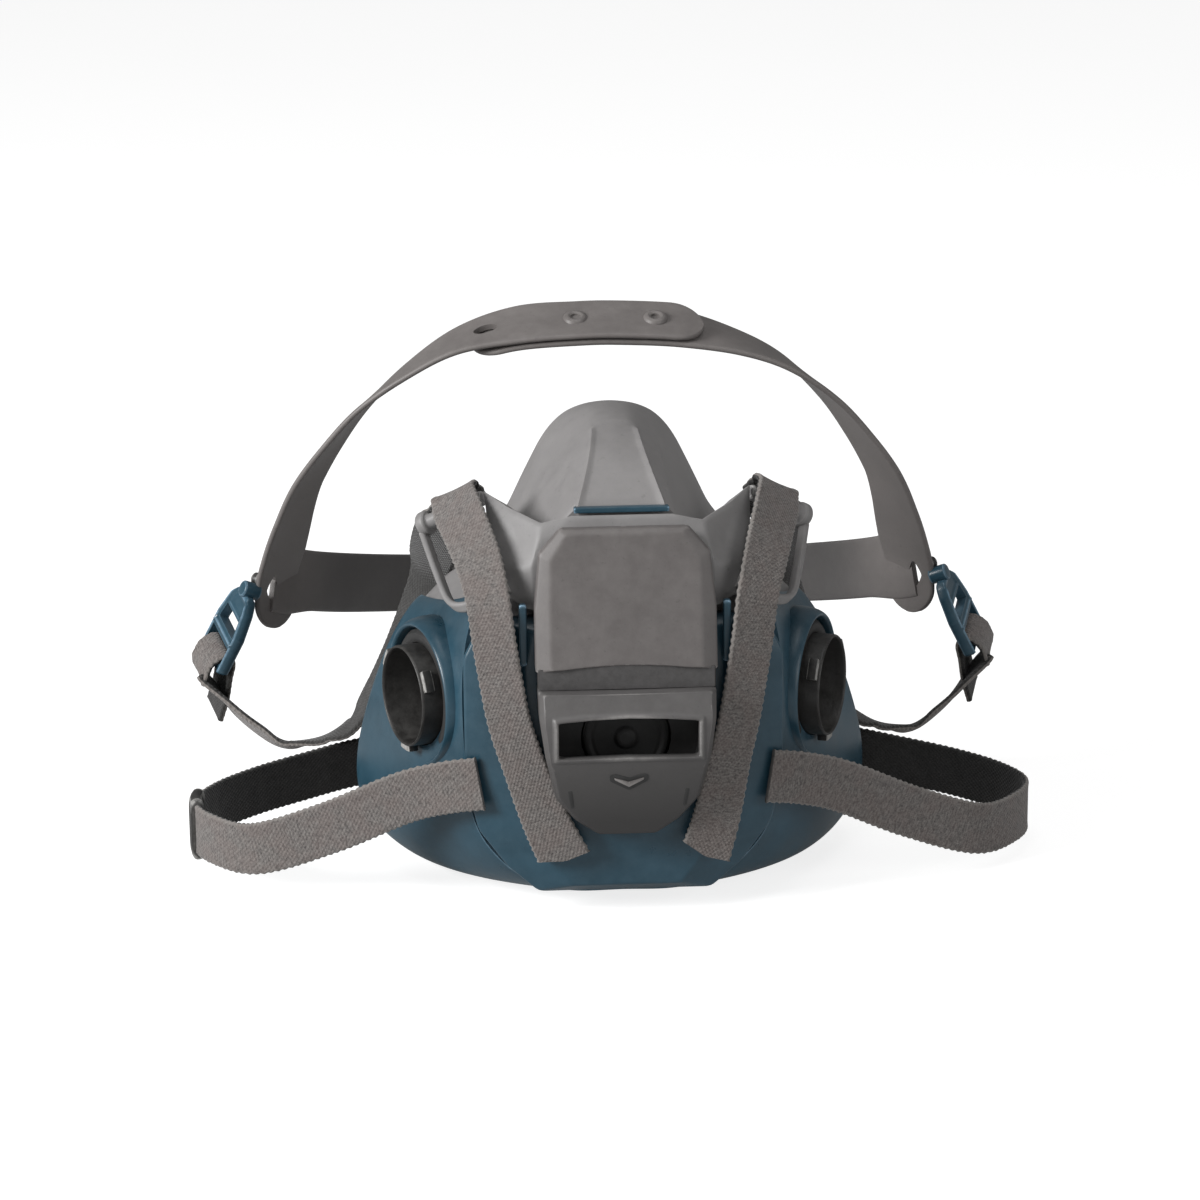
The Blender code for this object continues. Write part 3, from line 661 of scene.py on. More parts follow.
# exhaust_grey: its near-black inner colour and its darkening towards the bottom are painted shade
lower_grey = moulded("exhaust_grey", (0.088, 0.084, 0.083), 0.5, vary=0.1, worn_and_highlit=0.55, bump=0.25,
                     edge_colour=(0.3, 0.29, 0.28), inner=(0.008, 0.008, 0.008), dust=0.05,
                     shade=(-0.008, -0.036))
recess_shade = moulded("recess_shade_grey", (0.04, 0.038, 0.038), 0.55, vary=0.1, worn_and_highlit=0.4, dust=0.05)
black = moulded("black_plastic", (0.018, 0.017, 0.016), 0.42, vary=0.2, worn_and_highlit=0.85, bump=0.3,
                edge_colour=(0.5, 0.49, 0.47), dust=0.1)
# cradle_grey: its inner colour is painted shade on the back band
cradle_grey = moulded("cradle_grey", (0.15, 0.137, 0.132), 0.52, vary=0.09, worn_and_highlit=0.0, bump=0.25,
                      inner=(0.078, 0.074, 0.073), dust=0.08)
rubber = moulded("valve_rubber", (0.022, 0.022, 0.022), 0.62, vary=0.15, worn_and_highlit=0.25, bump=0.15,
                 dust=0.05)
steel = moulded("pin_steel", (0.42, 0.42, 0.43), 0.32, vary=0.08, worn_and_highlit=0.2, bump=0.08,
                metal=1.0, dust=0.05)
cloth = webbing("webbing_grey", (0.03, 0.026, 0.025), (0.115, 0.102, 0.096), (0.27, 0.25, 0.235),
                (0.22, 0.205, 0.19), (0.018, 0.017, 0.016))


# ---------------------------------------------------------------- face cup and shell

def cup_outline(keys):
    """Half outline read SPAN times per point: straight lines over the nose, a smooth curve over
    cheeks and chin, mixed between points 4 and 7, mirrored, then softened by a short blur."""
    keys = np.asarray(keys, float)
    at = np.linspace(0, len(keys) - 1, (len(keys) - 1) * SPAN + 1)
    straight = np.stack([np.interp(at, np.arange(len(keys)), keys[:, k]) for k in range(3)], axis=1)
    curved = catmull(keys, np.minimum(at, len(keys) - 1 - 1e-9))
    mix = ramp(at, 4.0, 7.0)[:, None]
    half = straight * (1 - mix) + curved * mix
    return blurred(np.vstack([half, half[-2:0:-1] * (-1, 1, 1)]), 5)


CUP = [cup_outline(k) for k in (RIM, MID, FRONT)]


def cup(v, offset=0.0):
    """Ring of the cup at v from 0 at the rim to 1 at the front, quadratic through the three
    outlines, moved out along its normal. The nose is a plain dome behind v = 0.3."""
    def at(t):
        ring = CUP[0] * (1 - t) * (1 - 2 * t) + CUP[1] * 4 * t * (1 - t) + CUP[2] * t * (2 * t - 1)
        near = ramp(np.abs(ring[:, 2]), 50, 58) * (ring[:, 2] > 0)
        mix = near[:, None] * (1 - ramp(t, 0.3, 0.5))
        return ring * (1 - mix) + blurred(ring, 40) * mix

    here = at(v)
    down = at(min(v + 0.02, 1.0)) - at(max(v - 0.02, 0.0))
    normal = unit(np.cross(np.roll(here, -1, axis=0) - np.roll(here, 1, axis=0), down))
    out = here - here.mean(axis=0)
    normal *= np.sign(np.sum(normal * out, axis=1))[:, None]
    return here + normal * np.reshape(offset, (-1, 1))


def port(side):
    """Centre of a port's face and its axis."""
    return PORT_FACE * (side, 1, 1), PORT_AXIS * (side, 1, 1)


def port_distance(points, side):
    """Distance from a port's axis, and place along it."""
    face, axis = port(side)
    away = points - face
    along = away @ axis
    return np.linalg.norm(away - along[..., None] * axis, axis=-1), along


def open_ports(layers, keep):
    """Drops the cells nearer to a port's axis than the hole's radius and moves the hole's
    border points straight out on to that radius."""
    rows, cols = layers[0].shape[:2]
    wide = keep.shape[1]
    col = (np.arange(wide) + 1) % cols
    for side in (-1, 1):
        middle = (layers[0][:-1, :wide] + layers[0][1:][:, col]) / 2
        far, along = port_distance(middle, side)
        keep &= ~((far < PORT_HOLE) & (along > -26))
    border = hole_border(keep, rows, cols)
    for side in (-1, 1):
        face, axis = port(side)
        for k, layer in enumerate(layers):
            far, along = port_distance(layer, side)
            near = border & (far < PORT_HOLE + 4) & (along > -30)
            core = face + along[..., None] * axis
            moved = core + (layer - core) * (PORT_HOLE / far)[..., None]
            layers[k] = np.where(near[..., None], moved, layer)
    return layers, keep


def build_seal():
    """Silicone cup: outer and inner sheets from the front hole over the front edge, down the
    wall to the rim and in along the lip; thin ridges follow the two edges of the nose facet."""
    count = len(CUP[0])
    place = np.minimum(np.arange(count), count - np.arange(count)) / SPAN
    to_valve = lambda ring: unit(ring[:, [0, 2]] - (0, VALVE_Z)) * VALVE_HOLE + (0, VALVE_Z)
    first_out = cup(1.0)
    first_in = cup(1.0, -WALL)
    first_in[:, 1] = CUP_FRONT + WALL
    outer, inner = [], []
    for t in np.linspace(0, 1, 9)[:-1]:
        outer.append(with_depth(to_valve(first_out), CUP_FRONT) * (1 - t) + first_out * t)
        inner.append(with_depth(to_valve(first_in), CUP_FRONT + WALL) * (1 - t) + first_in * t)
    for v in np.concatenate([[1.0, 0.99, 0.975], np.linspace(0.955, 0.0, 40)]):
        ridge = 0.7 * np.exp(-((place - 1.0) / 0.1) ** 2) * ramp(v, 0.4, 0.46)
        groove = 0.35 * np.exp(-((v - 0.4) / 0.012) ** 2) * (1 - ramp(place, 0.9, 1.1))
        ring = cup(v, ridge - groove)
        if v > 0.965:
            ring = ring + unit(first_in - first_out) * (v - 0.965) / 0.035 * 0.5
        outer.append(ring)
        back = cup(max(v, 0.03), -WALL)
        back[:, 1] = np.maximum(back[:, 1], CUP_FRONT + WALL)
        inner.append(back)
    rim_out, rim_in = outer[-1], inner[-1]
    centre = np.array([0, 0, -8.0])
    lip = (rim_out - centre) * (0.84, 1, 0.84) + centre
    for t in np.linspace(0, 1, 13)[1:]:
        bulge = np.array([0, 2.4 * np.sin(np.pi * t) * (1 - 0.3 * t), 0])
        thin = 1 - 0.55 * t
        outer.append(rim_out * (1 - t) + (lip + (0, 3.4, 0)) * t + bulge)
        inner.append(rim_in * (1 - t) + (lip + (0, 3.4 - WALL * thin, 0)) * t + bulge * 0.9)
    layers = [np.array(outer), np.array(inner)]
    layers, keep = open_ports(layers, np.ones((len(outer) - 1, count), bool))
    skin = Skin()
    mark = np.repeat([0.0, 1.0], len(outer) * count)
    skin.add(walled(layers[0], layers[1], keep, loop=True), inner=mark)
    piece("cup_seal", skin, silicone, stands_for=("face_seal", "seal_cup"))


def build_shell():
    """Blue shell: the cup's cheeks and chin moved out 3 mm outside and 1.3 mm inside, thinned to
    a rounded edge, with a turned collar round each port and a tongue above the front plate."""
    first, last = 7 * SPAN, 23 * SPAN + 1
    steps = np.concatenate([[1.0, 0.992, 0.98], np.linspace(0.955, 0.09, 34),
                            [0.07, 0.055, 0.045, 0.04]])
    edge_v = np.interp(steps, [0.04, 0.045, 0.07, 0.98, 1.0], [0.55, 0.85, 1.0, 1.0, 0.8])
    cols = np.arange(last - first)
    edge_u = np.interp(np.minimum(cols, cols[::-1]), [0, 1, 3], [0.55, 0.85, 1.0])
    outer = np.array([cup(v, 2.15 + 0.85 * e)[first:last] for v, e in zip(steps, edge_v)])
    inner = np.array([cup(v, 1.35)[first:last] for v in steps])
    thick = (outer - inner) * np.minimum(1.0, edge_u)[None, :, None]
    layers = [inner + thick, inner]
    layers, keep = open_ports(layers, np.ones((len(steps) - 1, len(cols) - 1), bool))
    skin = Skin()
    skin.add(walled(layers[0], layers[1], keep))
    profile = [(21.9, -12.2), (21.8, -9.0), (21.3, -6.4), (20.2, -4.4), (19.2, -4.9), (18.9, -6.4),
               (18.7, -8.4), (14.9, -8.4), (14.9, -12.2)]
    profile = eased(profile, 1.1, 5, which=(1, 2, 3, 4, 5, 6))
    for side in (-1, 1):
        skin.add(turned(profile, *port(side), 120))
    skin.add(block((-13.2, -54.0, 47.6), (13.2, -51.2, 49.1), 0.5))
    piece("cheek_shell", skin, blue, stands_for=("facepiece_shell",))


def build_plate():
    """Front plate: the outline by angle round the valve, from the back edge to the front edge,
    up a bevel to the smaller face, in to the round hole and back."""
    half = [(0, 20), (20, 20), (39, 19), (44.5, 8), (44.5, -28), (41, -42), (33, -53),
            (24.5, -60.5), (0, -60.5)]
    loop = star(both_halves(half), (0, VALVE_Z), 360, 2)
    small = loop * (0.62, 0.93) + (0, -1.0)
    hole = unit(loop - (0, VALVE_Z)) * PLATE_HOLE + (0, VALVE_Z)
    rows = [with_depth(hole, PLATE_FRONT), with_depth(small, PLATE_FRONT), with_depth(loop, -57.5),
            with_depth(loop * 0.998, PLATE_BACK), with_depth(hole, PLATE_BACK)]
    rows = eased(rows, 0.9, 6, which=(1, 2, 3))
    more = [rows[0] * (1 - t) + rows[1] * t for t in (0.25, 0.5, 0.75)]
    rows = np.array([rows[0], *more, *rows[1:]])
    skin = Skin()
    skin.add(mesh_grid(rows, loop_rows=True))
    for x in (-29.2, 27.0):
        skin.add(block((x, -65.3, 7.5), (x + 2.2, -62.6, 25.0), 0.9))
    piece("blue_plate", skin, blue, stands_for=("front_plate",))


# ---------------------------------------------------------------- ears and covers

BAR_WAY = (0.74, 0.5, -0.45)       # direction of the right ear's guide bar


def patched(rows, steps=8):
    """Grid through rows of control points: straight between points along each row and between
    rows, so every control line stays a crease, softened by one short blur inside."""
    rows = np.asarray(rows, float)
    u = np.linspace(0, rows.shape[0] - 1, (rows.shape[0] - 1) * steps + 1)
    v = np.linspace(0, rows.shape[1] - 1, (rows.shape[1] - 1) * steps + 1)
    by_row = np.stack([[np.interp(u, np.arange(rows.shape[0]), rows[:, j, k]) for k in range(3)]
                       for j in range(rows.shape[1])], axis=0)
    full = np.stack([[np.interp(v, np.arange(rows.shape[1]), by_row[:, k, i]) for k in range(3)]
                     for i in range(len(u))], axis=0).transpose(0, 2, 1)
    soft = full.copy()
    soft[1:-1, 1:-1] = (full[:-2, 1:-1] + full[2:, 1:-1] + full[1:-1, :-2] + full[1:-1, 2:]
                        + 2 * full[1:-1, 1:-1]) / 6
    return soft


def sheet_pair(front, thick):
    """Front grid and the same grid moved back along its normals, with thinned edges."""
    gu, gv = np.gradient(front, axis=0), np.gradient(front, axis=1)
    normal = unit(np.cross(gu, gv))
    normal *= np.sign(np.sum(normal * (0, -1, 0.4), axis=-1))[..., None]
    rows, cols = front.shape[:2]
    i = np.minimum(np.arange(rows), np.arange(rows)[::-1])[:, None]
    j = np.minimum(np.arange(cols), np.arange(cols)[::-1])[None]
    shave = np.interp(np.minimum(i, j), [0, 1, 2], [0.45, 0.12, 0.0])
    return front - normal * shave[..., None], front - normal * (thick - 0.3 * shave)[..., None]


def build_yoke():
    """Yoke: a creased patch across the mask, each side rising to an ear,
    with a slim outer arm."""
    right = [[(20, -59.6, 21.0), (24.6, -60.2, 22.0), (26.8, -60.0, 22.6), (32.4, -58.8, 26.6)],
             [(21, -58.9, 33.0), (25.2, -59.0, 34.0), (27.2, -58.2, 33.6), (34.2, -53.6, 33.4)],
             [(18, -57.4, 42.0), (23.2, -56.6, 41.6), (29.2, -51.0, 40.2), (36.6, -45.6, 40.8)],
             [(14, -55.4, 47.4), (22.6, -54.4, 45.4), (31.6, -44.2, 47.8), (37.6, -34.6, 50.2)]]
    rows = [[(-x, y, z) for x, y, z in row[::-1]] + row for row in right]
    front, back = sheet_pair(patched(rows), 2.2)
    skin = Skin()
    skin.add(walled(front, back))
    for side in (-1, 1):
        path = [(54.0, -23.5, 35.2), (50.6, -38.6, 27.8), (47.6, -49.3, 22.3), (44, -54.3, 21.9),
                (38.0, -56.2, 24.6), (31.5, -57.8, 28.3)]
        across = [(0.7, -0.5, 0.3)] * 2 + [(0.6, 0, 0.5), (0.5, 0.1, 0.7)] + [(0.1, 0.3, 1)] * 2
        course = Course(side_of(path, side), side_of(across, side))
        skin.add(strap(course, 3.2, 1.9, step=0.8)[0])
    piece("ear_yoke", skin, ear_grey, stands_for=("strap_yoke",), crease=25)
    for label, side in SIDES:
        profile = [(0.1, -8.2), (1.7, -8.2), (2.2, -7.6), (2.2, 11.4), (2.6, 11.8), (3.2, 12.0),
                   (3.6, 12.6), (3.6, 14.4), (3.0, 15.2), (2.1, 15.3), (1.7, 14.6), (0.1, 14.6)]
        bar = lathe(profile, (0.3, 3), (43.4 * side, -28.9, 44.1), side_of(BAR_WAY, side), 40)
        piece(f"strap_bar_{label}", bar, ear_grey, stands_for=(f"guide_bar_{label}",))


def latch_rings(half, front_half, back, edge, face, radius=0.9):
    """Rows of a cover: back outline, edge outline and smaller face, each y linear in z, eased."""
    loop = rounded_loop(both_halves(half), radius, 6)
    small = rounded_loop(both_halves(front_half), radius * 0.8, 6)
    rows = [with_depth(loop, back), with_depth(loop, edge), with_depth(small, face)]
    return eased(rows + [with_depth(shrunk(small, 0.9), face)], 0.8, 6)


def build_latch():
    """Upper cover: an arched lower edge over a recessed band painted dark as shade, chamfered top corners."""
    arch = lambda x: 8.5 - 1.5 * (x / 25) ** 2
    low = [(x, arch(x)) for x in (20, 15, 10, 5, 0)]
    half = [(0, 45.7), (17.6, 45.7), (23.5, 39), (25, 24), (25, 7.0)] + low
    small = [(0, 44.3), (16.0, 44.3), (20.4, 37.6), (20.8, 24), (20.8, 8.2)]
    small += [(x * 0.86, z + 0.7) for x, z in low]
    back = lambda x, z: -64.4 + 0.069 * (z - 3)
    edge = lambda x, z: -71.5 + 0.185 * (z - 3)
    face = lambda x, z: -74.0 + 0.21 * (z - 3)
    skin = Skin()
    skin.add(capped(latch_rings(half, small, back, edge, face)))
    piece("upper_cover", skin, warm_grey, "latch_cover", ("latch_cover",), crease=30)
    # painted shade: the recessed band under the arched edge is a dark sheet
    skin = Skin()
    ring = rounded_loop(both_halves([(0, 9.4), (24.4, 8.2), (24.4, 2.3), (0, 2.5)]), 0.5, 4)
    deep = lambda x, z: -72.3 + 0.7 * (x / 24.4) ** 2
    stack = [with_depth(ring, -64.6), with_depth(ring, lambda x, z: deep(x, z) + 0.6),
             with_depth(ring * (0.985, 1), deep)]
    skin.add(capped(eased(stack, 0.3, 3)))
    piece("cover_recess", skin, recess_shade, "latch_cover")


EXHAUST_MIDDLE = (0, -10.0)        # the slot's middle, which the lower cover's rays leave from
EXHAUST_RAYS = 480
EXHAUST_BACK = -63.5


def exhaust_depth(out=0.0):
    """Depth of the lower cover's face, moved back by out: a ridge line by height with soft
    bends, falling back towards its sides."""
    def depth(x, z):
        knots, depths = (-41.5, -16, -5, 3), (-70.0, -78.6, -78.6, -75.0)
        y = sum(np.interp(z + d, knots, depths) for d in (-1.6, -0.8, 0, 0.8, 1.6)) / 5
        return y + 0.9 * (np.abs(x) / 24.0) ** 3 + out

    return depth


def exhaust_ring(outline, blur):
    """A half outline, mirrored and read by angle round the slot's middle."""
    return star(both_halves(outline), EXHAUST_MIDDLE, EXHAUST_RAYS, blur)


def slot(grow):
    """The slot's outline, widened all round."""
    low, high, far = -15.4 - grow, -5.2 + grow, 19.2 + grow
    corners = [(0, high + 0.9), (10, high + 0.6), (far, high - 0.2), (far, low), (0, low + 0.4)]
    return exhaust_ring(corners, 2)


def build_exhaust():
    """Lower cover: loops by angle round the slot, from the back outline over the edge and the
    face to the slot's raised rim, in through the slot and back along the hollow inside."""
    half = [(0, 2.2), (24.5, 2.2), (24.2, -6), (22.8, -16), (20, -29), (14.5, -36), (8.2, -40.6),
            (0, -40.6)]
    loop = exhaust_ring(half, 3)
    small = exhaust_ring([(x * 0.945, z * 0.975 - 0.2) for x, z in half], 4)
    hole = exhaust_ring([(x * 0.86, (z + 18) * 0.88 - 18) for x, z in half], 4)
    face = exhaust_depth()
    rows = [with_depth(loop, EXHAUST_BACK), with_depth(loop, exhaust_depth(2.6)),
            with_depth(small, face), with_depth(small * 0.97 + (0, -0.3), face)]
    rows = list(eased(rows, 0.9, 6))[:-1]
    wide = slot(1.9)
    for t in np.linspace(0.06, 1, 15):
        rows.append(with_depth(small * (1 - t) + wide * t, face))
    for grow, out in ((1.5, -0.1), (1.25, -0.4), (0.9, -0.6), (0.5, -0.6), (0.2, -0.4), (0.02, 0.0),
                      (0, 1.0), (0, 2.4)):
        rows.append(with_depth(slot(grow), exhaust_depth(out)))
    shown = len(rows) - 1
    rows.append(with_depth(hole, lambda x, z: np.maximum(exhaust_depth(2.6)(x, z), -76.0)))
    turn = np.linspace(0, 2 * np.pi, 97)[:-1]
    bore = np.stack([12.5 * np.cos(turn), 12.5 * np.sin(turn) + VALVE_Z], axis=1)
    bore = star(bore, EXHAUST_MIDDLE, EXHAUST_RAYS, 0)
    rows += [with_depth(hole, -65.6), with_depth(bore, -65.2), with_depth(bore, EXHAUST_BACK)]
    rows = np.array(rows)
    # painted shade: the inside of the slot and the hollow behind it take the near-black inner colour
    inner = (np.arange(len(rows)) >= shown).astype(float)[:, None] * np.ones(EXHAUST_RAYS)
    skin = Skin()
    skin.add(mesh_grid(rows, loop_rows=True), inner=inner)
    piece("lower_cover", skin, lower_grey, stands_for=("exhaust_cover",), crease=35)


def build_marks():
    """Marks on the lower cover: a chevron and its dark surround, and a short dark patch each side that stands
    for a groove as painted shade, each a loop carried through the face and drawn in at its top."""
    raise_mark = lambda *rows: capped(np.array([with_depth(loop, exhaust_depth(out))
                                                for loop, out in rows]))
    skin = Skin()
    dark = rounded_loop([(-5.4, -20.6), (-3.6, -20.4), (0, -21.6), (3.6, -20.4), (5.4, -20.6),
                         (5.3, -22.6), (0, -25.6), (-5.3, -22.6)], 0.6, 4)
    skin.add(raise_mark((dark, 1.0), (dark, -0.12), (dark * 0.96 + (0, -0.9), -0.16)))
    for side in (-1, 1):
        # painted shade: a dark patch set into the face where a groove's shade would fall
        groove = np.array([(15.6, -25.4), (16.8, -25.6), (15.9, -31.4), (14.9, -31.2)])
        groove = rounded_loop(groove * (side, 1), 0.4, 4)
        skin.add(raise_mark((groove, 1.5), (groove, 0.0), (shrunk(groove, 0.8), -0.1)))
    piece("cover_marks", skin, rubber)
    skin = Skin()
    pale = rounded_loop([(-4.1, -21.5), (0, -22.8), (4.1, -21.5), (4.0, -22.2), (0, -24.5),
                         (-4.0, -22.2)], 0.3, 4)
    skin.add(raise_mark((pale, 0.5), (pale, -0.35), (pale * 0.94 + (0, -1.4), -0.5)))
    piece("cover_chevron", skin, warm_grey)


def build_valves():
    """Exhalation seat and disc, and the two inhalation discs, all turned with fine steps."""
    middle, forward = (0, 0, VALVE_Z), (0, -1, 0)
    seat = [(12.6, 49), (12.6, 58.6), (15.9, 58.6), (15.9, 62.8), (12.6, 62.8), (12.0, 64.2),
            (11.0, 64.2), (10.4, 63.4), (10.4, 49)]
    skin = lathe(seat, (0.3, 3), middle, forward, 96, True)
    for x, z in ((11.0, 0.9), (0.9, 11.0)):
        skin.add(block((-x, -61.4, VALVE_Z - z), (x, -59.6, VALVE_Z + z), 0.3))
    piece("exhale_seat", skin, black, stands_for=("exhalation_valve_seat",))
    disc = [(0.1, 64.6), (11.2, 64.5), (11.6, 64.7), (11.6, 65.1), (10.6, 65.3), (9.6, 65.0),
            (8.8, 65.3), (3.4, 65.3), (2.6, 66.2), (1.6, 66.6), (0.1, 66.6)]
    piece("exhale_disc", lathe(disc, (0.2, 3), middle, forward, 72), rubber,
          "exhalation_disc", ("exhalation_valve",))
    disc = [(0.1, -15.2), (10.5, -15.2), (10.9, -15.0), (10.9, -14.6), (9.6, -14.4), (8.8, -14.7),
            (7.8, -14.4), (0.1, -14.4)]
    for label, side in SIDES:
        piece(f"inhale_disc_{label}", lathe(disc, (0.15, 3), *port(side), 72), rubber,
              f"inhalation_disc_{label}", (f"inhalation_valve_{label}",))


def build_ports():
    """Inlet rings: a thin front lip over a bore that narrows inwards, three lugs outside, and a
    cross of two bars at the back; with a gasket round each."""
    ring_profile = [(14.5, -17), (14.5, -0.5), (14.2, 0.0), (13.9, 0.0), (13.6, -0.5),
                    (13.3, -3.0), (12.3, -8.0), (11.6, -12.0), (11.5, -17)]
    ring_profile = eased(ring_profile, 0.25, 4, which=(1, 2, 3, 4, 5, 6))
    gasket = [(14.7, -8.0), (18.4, -8.0), (18.5, -7.0), (17.2, -5.8), (15.6, -5.8), (14.7, -6.2)]
    arc = np.linspace(-0.2, 0.2, 9)
    outer = 16.2 * np.stack([np.cos(arc), np.sin(arc)], axis=1)
    inner = 13.9 * np.stack([np.cos(arc * 1.12), np.sin(arc * 1.12)], axis=1)[::-1]
    loop = rounded_loop(np.vstack([outer, inner]), 0.3, 3)
    lug = np.array([np.hstack([shrunk(loop, share), np.full((len(loop), 1), rise)])
                    for share, rise in ((0.94, -3.5), (1.0, -3.2), (1.0, -1.1), (0.94, -0.8))])
    for label, side in SIDES:
        face, axis = port(side)
        skin = Skin()
        skin.add(turned(ring_profile, face, axis, 120))
        turn = np.array(Vector(axis).to_track_quat("Z", "Y").to_matrix())
        for k in range(3):
            spin = np.array(Matrix.Rotation(2 * math.pi * (k / 3 + 0.08), 3, "Z"))
            skin.add(capped(lug @ spin.T @ turn.T + face))
        for x, y in ((11.9, 0.8), (0.8, 11.9)):
            points, faces = block((-x, -y, -13.9), (x, y, -12.7), 0.3)
            skin.add((points @ turn.T + face, faces))
        piece(f"inlet_ring_{label}", skin, black,
              stands_for=(f"inlet_port_{label}",))
        piece(f"port_gasket_{label}", lathe(gasket, (0.3, 4), face, axis, 96, True), rubber,
              stands_for=(f"inlet_gasket_{label}",))


# ---------------------------------------------------------------- straps

# the front run of each head strap, from its sewn end up to the ear; then, for the right side
# of the head, the run both share, the way each point's width lies, and the neck strap's run
FRONT_RUN = {-1: [(17.1, -66.2, -48.6), (22.4, -66.4, -37), (27.7, -66.6, -22.5), (32.0, -66.4, -9),
                  (34.2, -66.2, 2.7), (36.0, -65.6, 14.3), (37.4, -63.2, 25.2)],
             1: [(21.8, -66.2, -48.4), (25.0, -66.4, -37), (28.2, -66.6, -22), (31.2, -66.4, -9),
                 (33.2, -66.2, 2.7), (35.0, -65.6, 14.3), (36.6, -63.2, 25.2)]}
HEAD_STRAP = [(39.4, -56.6, 34.4), (43.0, -44.5, 42.4), (45.6, -33.6, 46.8), (45.4, -28.8, 48.4),
              (43.9, -25.0, 46.2), (45.5, -18, 41), (49.6, -3, 30.0), (53.2, 21.0, 12.6),
              (56.6, 24.6, 2.5), (60.4, 27.3, -7.3), (64.8, 30, -17.5), (70.0, 34, -28),
              (75.9, 39.5, -38.2), (80.8, 44, -42.8), (85.8, 48, -46.2), (91.6, 51.5, -48.3),
              (97.5, 54.5, -49.2), (104, 58, -46.6), (112.6, 62.2, -40.4)]
HEAD_WIDE = [(0.95, 0.1, 0.2), (0.95, 0.15, 0.15), (0.94, 0.22, 0.12), (0.92, 0.3, 0.1),
             (0.91, 0.34, 0.06), (0.9, 0.36, 0.0), (0.88, 0.38, -0.08), (0.84, 0.4, -0.2),
             (0.78, 0.46, -0.36), BAR_WAY, BAR_WAY, BAR_WAY, BAR_WAY, (0.7, 0.62, 0), (0.5, 0.85, 0), (0.4, 0.9, 0),
             (0.36, 0.92, -0.05), (0.32, 0.94, -0.1), (0.26, 0.96, -0.15), (0.18, 0.97, -0.2),
             (0.1, 0.97, -0.24), (0.06, 0.96, -0.28), (0.06, 0.95, -0.3), (0.06, 0.93, -0.35),
             (0.15, 0.93, -0.34), (0.28, 0.94, -0.1)]
NECK_TURN = (122, -7, -54.4)
NECK_STRAP = [(40.5, -60.9, -27.3), (50.0, -57.0, -29.4), (62, -51, -34), (83, -42.5, -45),
              (104, -33.5, -53.6), (117, -21, -54.4), NECK_TURN, (117, 8, -54.4), (106, 21, -54),
              (92, 32, -53.4), (74, 44, -52.6), (45, 58, -52), (16, 68, -52)]


def buckle_frame(side):
    """Top point and directions of a buckle: down its length, across it, and out from the head."""
    long = unit((0.45 * side, 0.14, -0.88))
    wide = np.array((-0.27 * side, -0.92, -0.29))
    wide = unit(wide - long * (wide @ long))
    out = unit(np.cross(long, wide)) * (-side)
    return np.array([107.3 * side, 64.2, -4.0]), long, wide, out


def build_head_straps():
    """Head webbing from the front plate over the ear's bar, back and down, up round the
    buckle's lower bar, through its slot and down inside as a free tail. Each turn is a place
    down the buckle and its height off it."""
    turns = [(31.0, 1.2), (27.2, 3.2), (23.6, 3.4), (20.6, 1.6), (19.6, -0.6), (21.4, -3.0),
             (26.5, -4.4), (33.5, -6.6), (41.0, -8.0)]
    half = lambda s: np.interp(s, [0, 8, 30, 80, 112], [7.3, 7.0, 6.3, 6.5, 7.5])
    for label, side in SIDES:
        top, long, wide, out = buckle_frame(side)
        path = np.vstack([side_of(FRONT_RUN[side] + HEAD_STRAP, side),
                          [top + long * down + out * off for down, off in turns]])
        across = np.vstack([side_of(HEAD_WIDE, side), [-wide] * len(turns)])
        surface, chart, inner = strap(Course(path, across), WEB_WIDTH, WEB_THICK, fringe=WEB_FRINGE,
                                      cut=(-0.4 * side, 0.0), low=lambda s: -half(s), high=half,
                                      swell=WEB_SWELL)
        skin = Skin()
        skin.add(surface, chart, inner if side < 0 else 1 - inner)
        bend_from, bend_to = (84 * side * MM, 40 * MM, -34 * MM), tuple((top + long * 20) * MM)
        piece(f"head_web_{label}", skin, cloth,
              ("mask", f"buckle_{label}", bend_from, bend_to), (f"head_strap_{label}",), crease=60)


def build_neck_straps():
    """Neck webbing from the plate's edge out, round and back to the clasp."""
    wide = [(0.1, 0.1, 1), (0.25, 0.1, 0.95), (0.2, 0, 1), (0.1, 0, 1)] + [(0, 0, 1)] * 9
    for label, side in SIDES:
        course = Course(side_of(NECK_STRAP, side), side_of(wide, side))
        surface, chart, inner = strap(course, WEB_WIDTH, WEB_THICK, fringe=WEB_FRINGE, swell=WEB_SWELL)
        skin = Skin()
        skin.add(surface, chart, inner if side > 0 else 1 - inner)
        body = "mask"
        if side < 0:
            body = ("mask", "clasp_hook", (-0.074, 0.044, -0.0526), (-0.016, 0.068, -0.052))
        piece(f"neck_web_{label}", skin, cloth, body, (f"neck_strap_{label}",),
              crease=60)


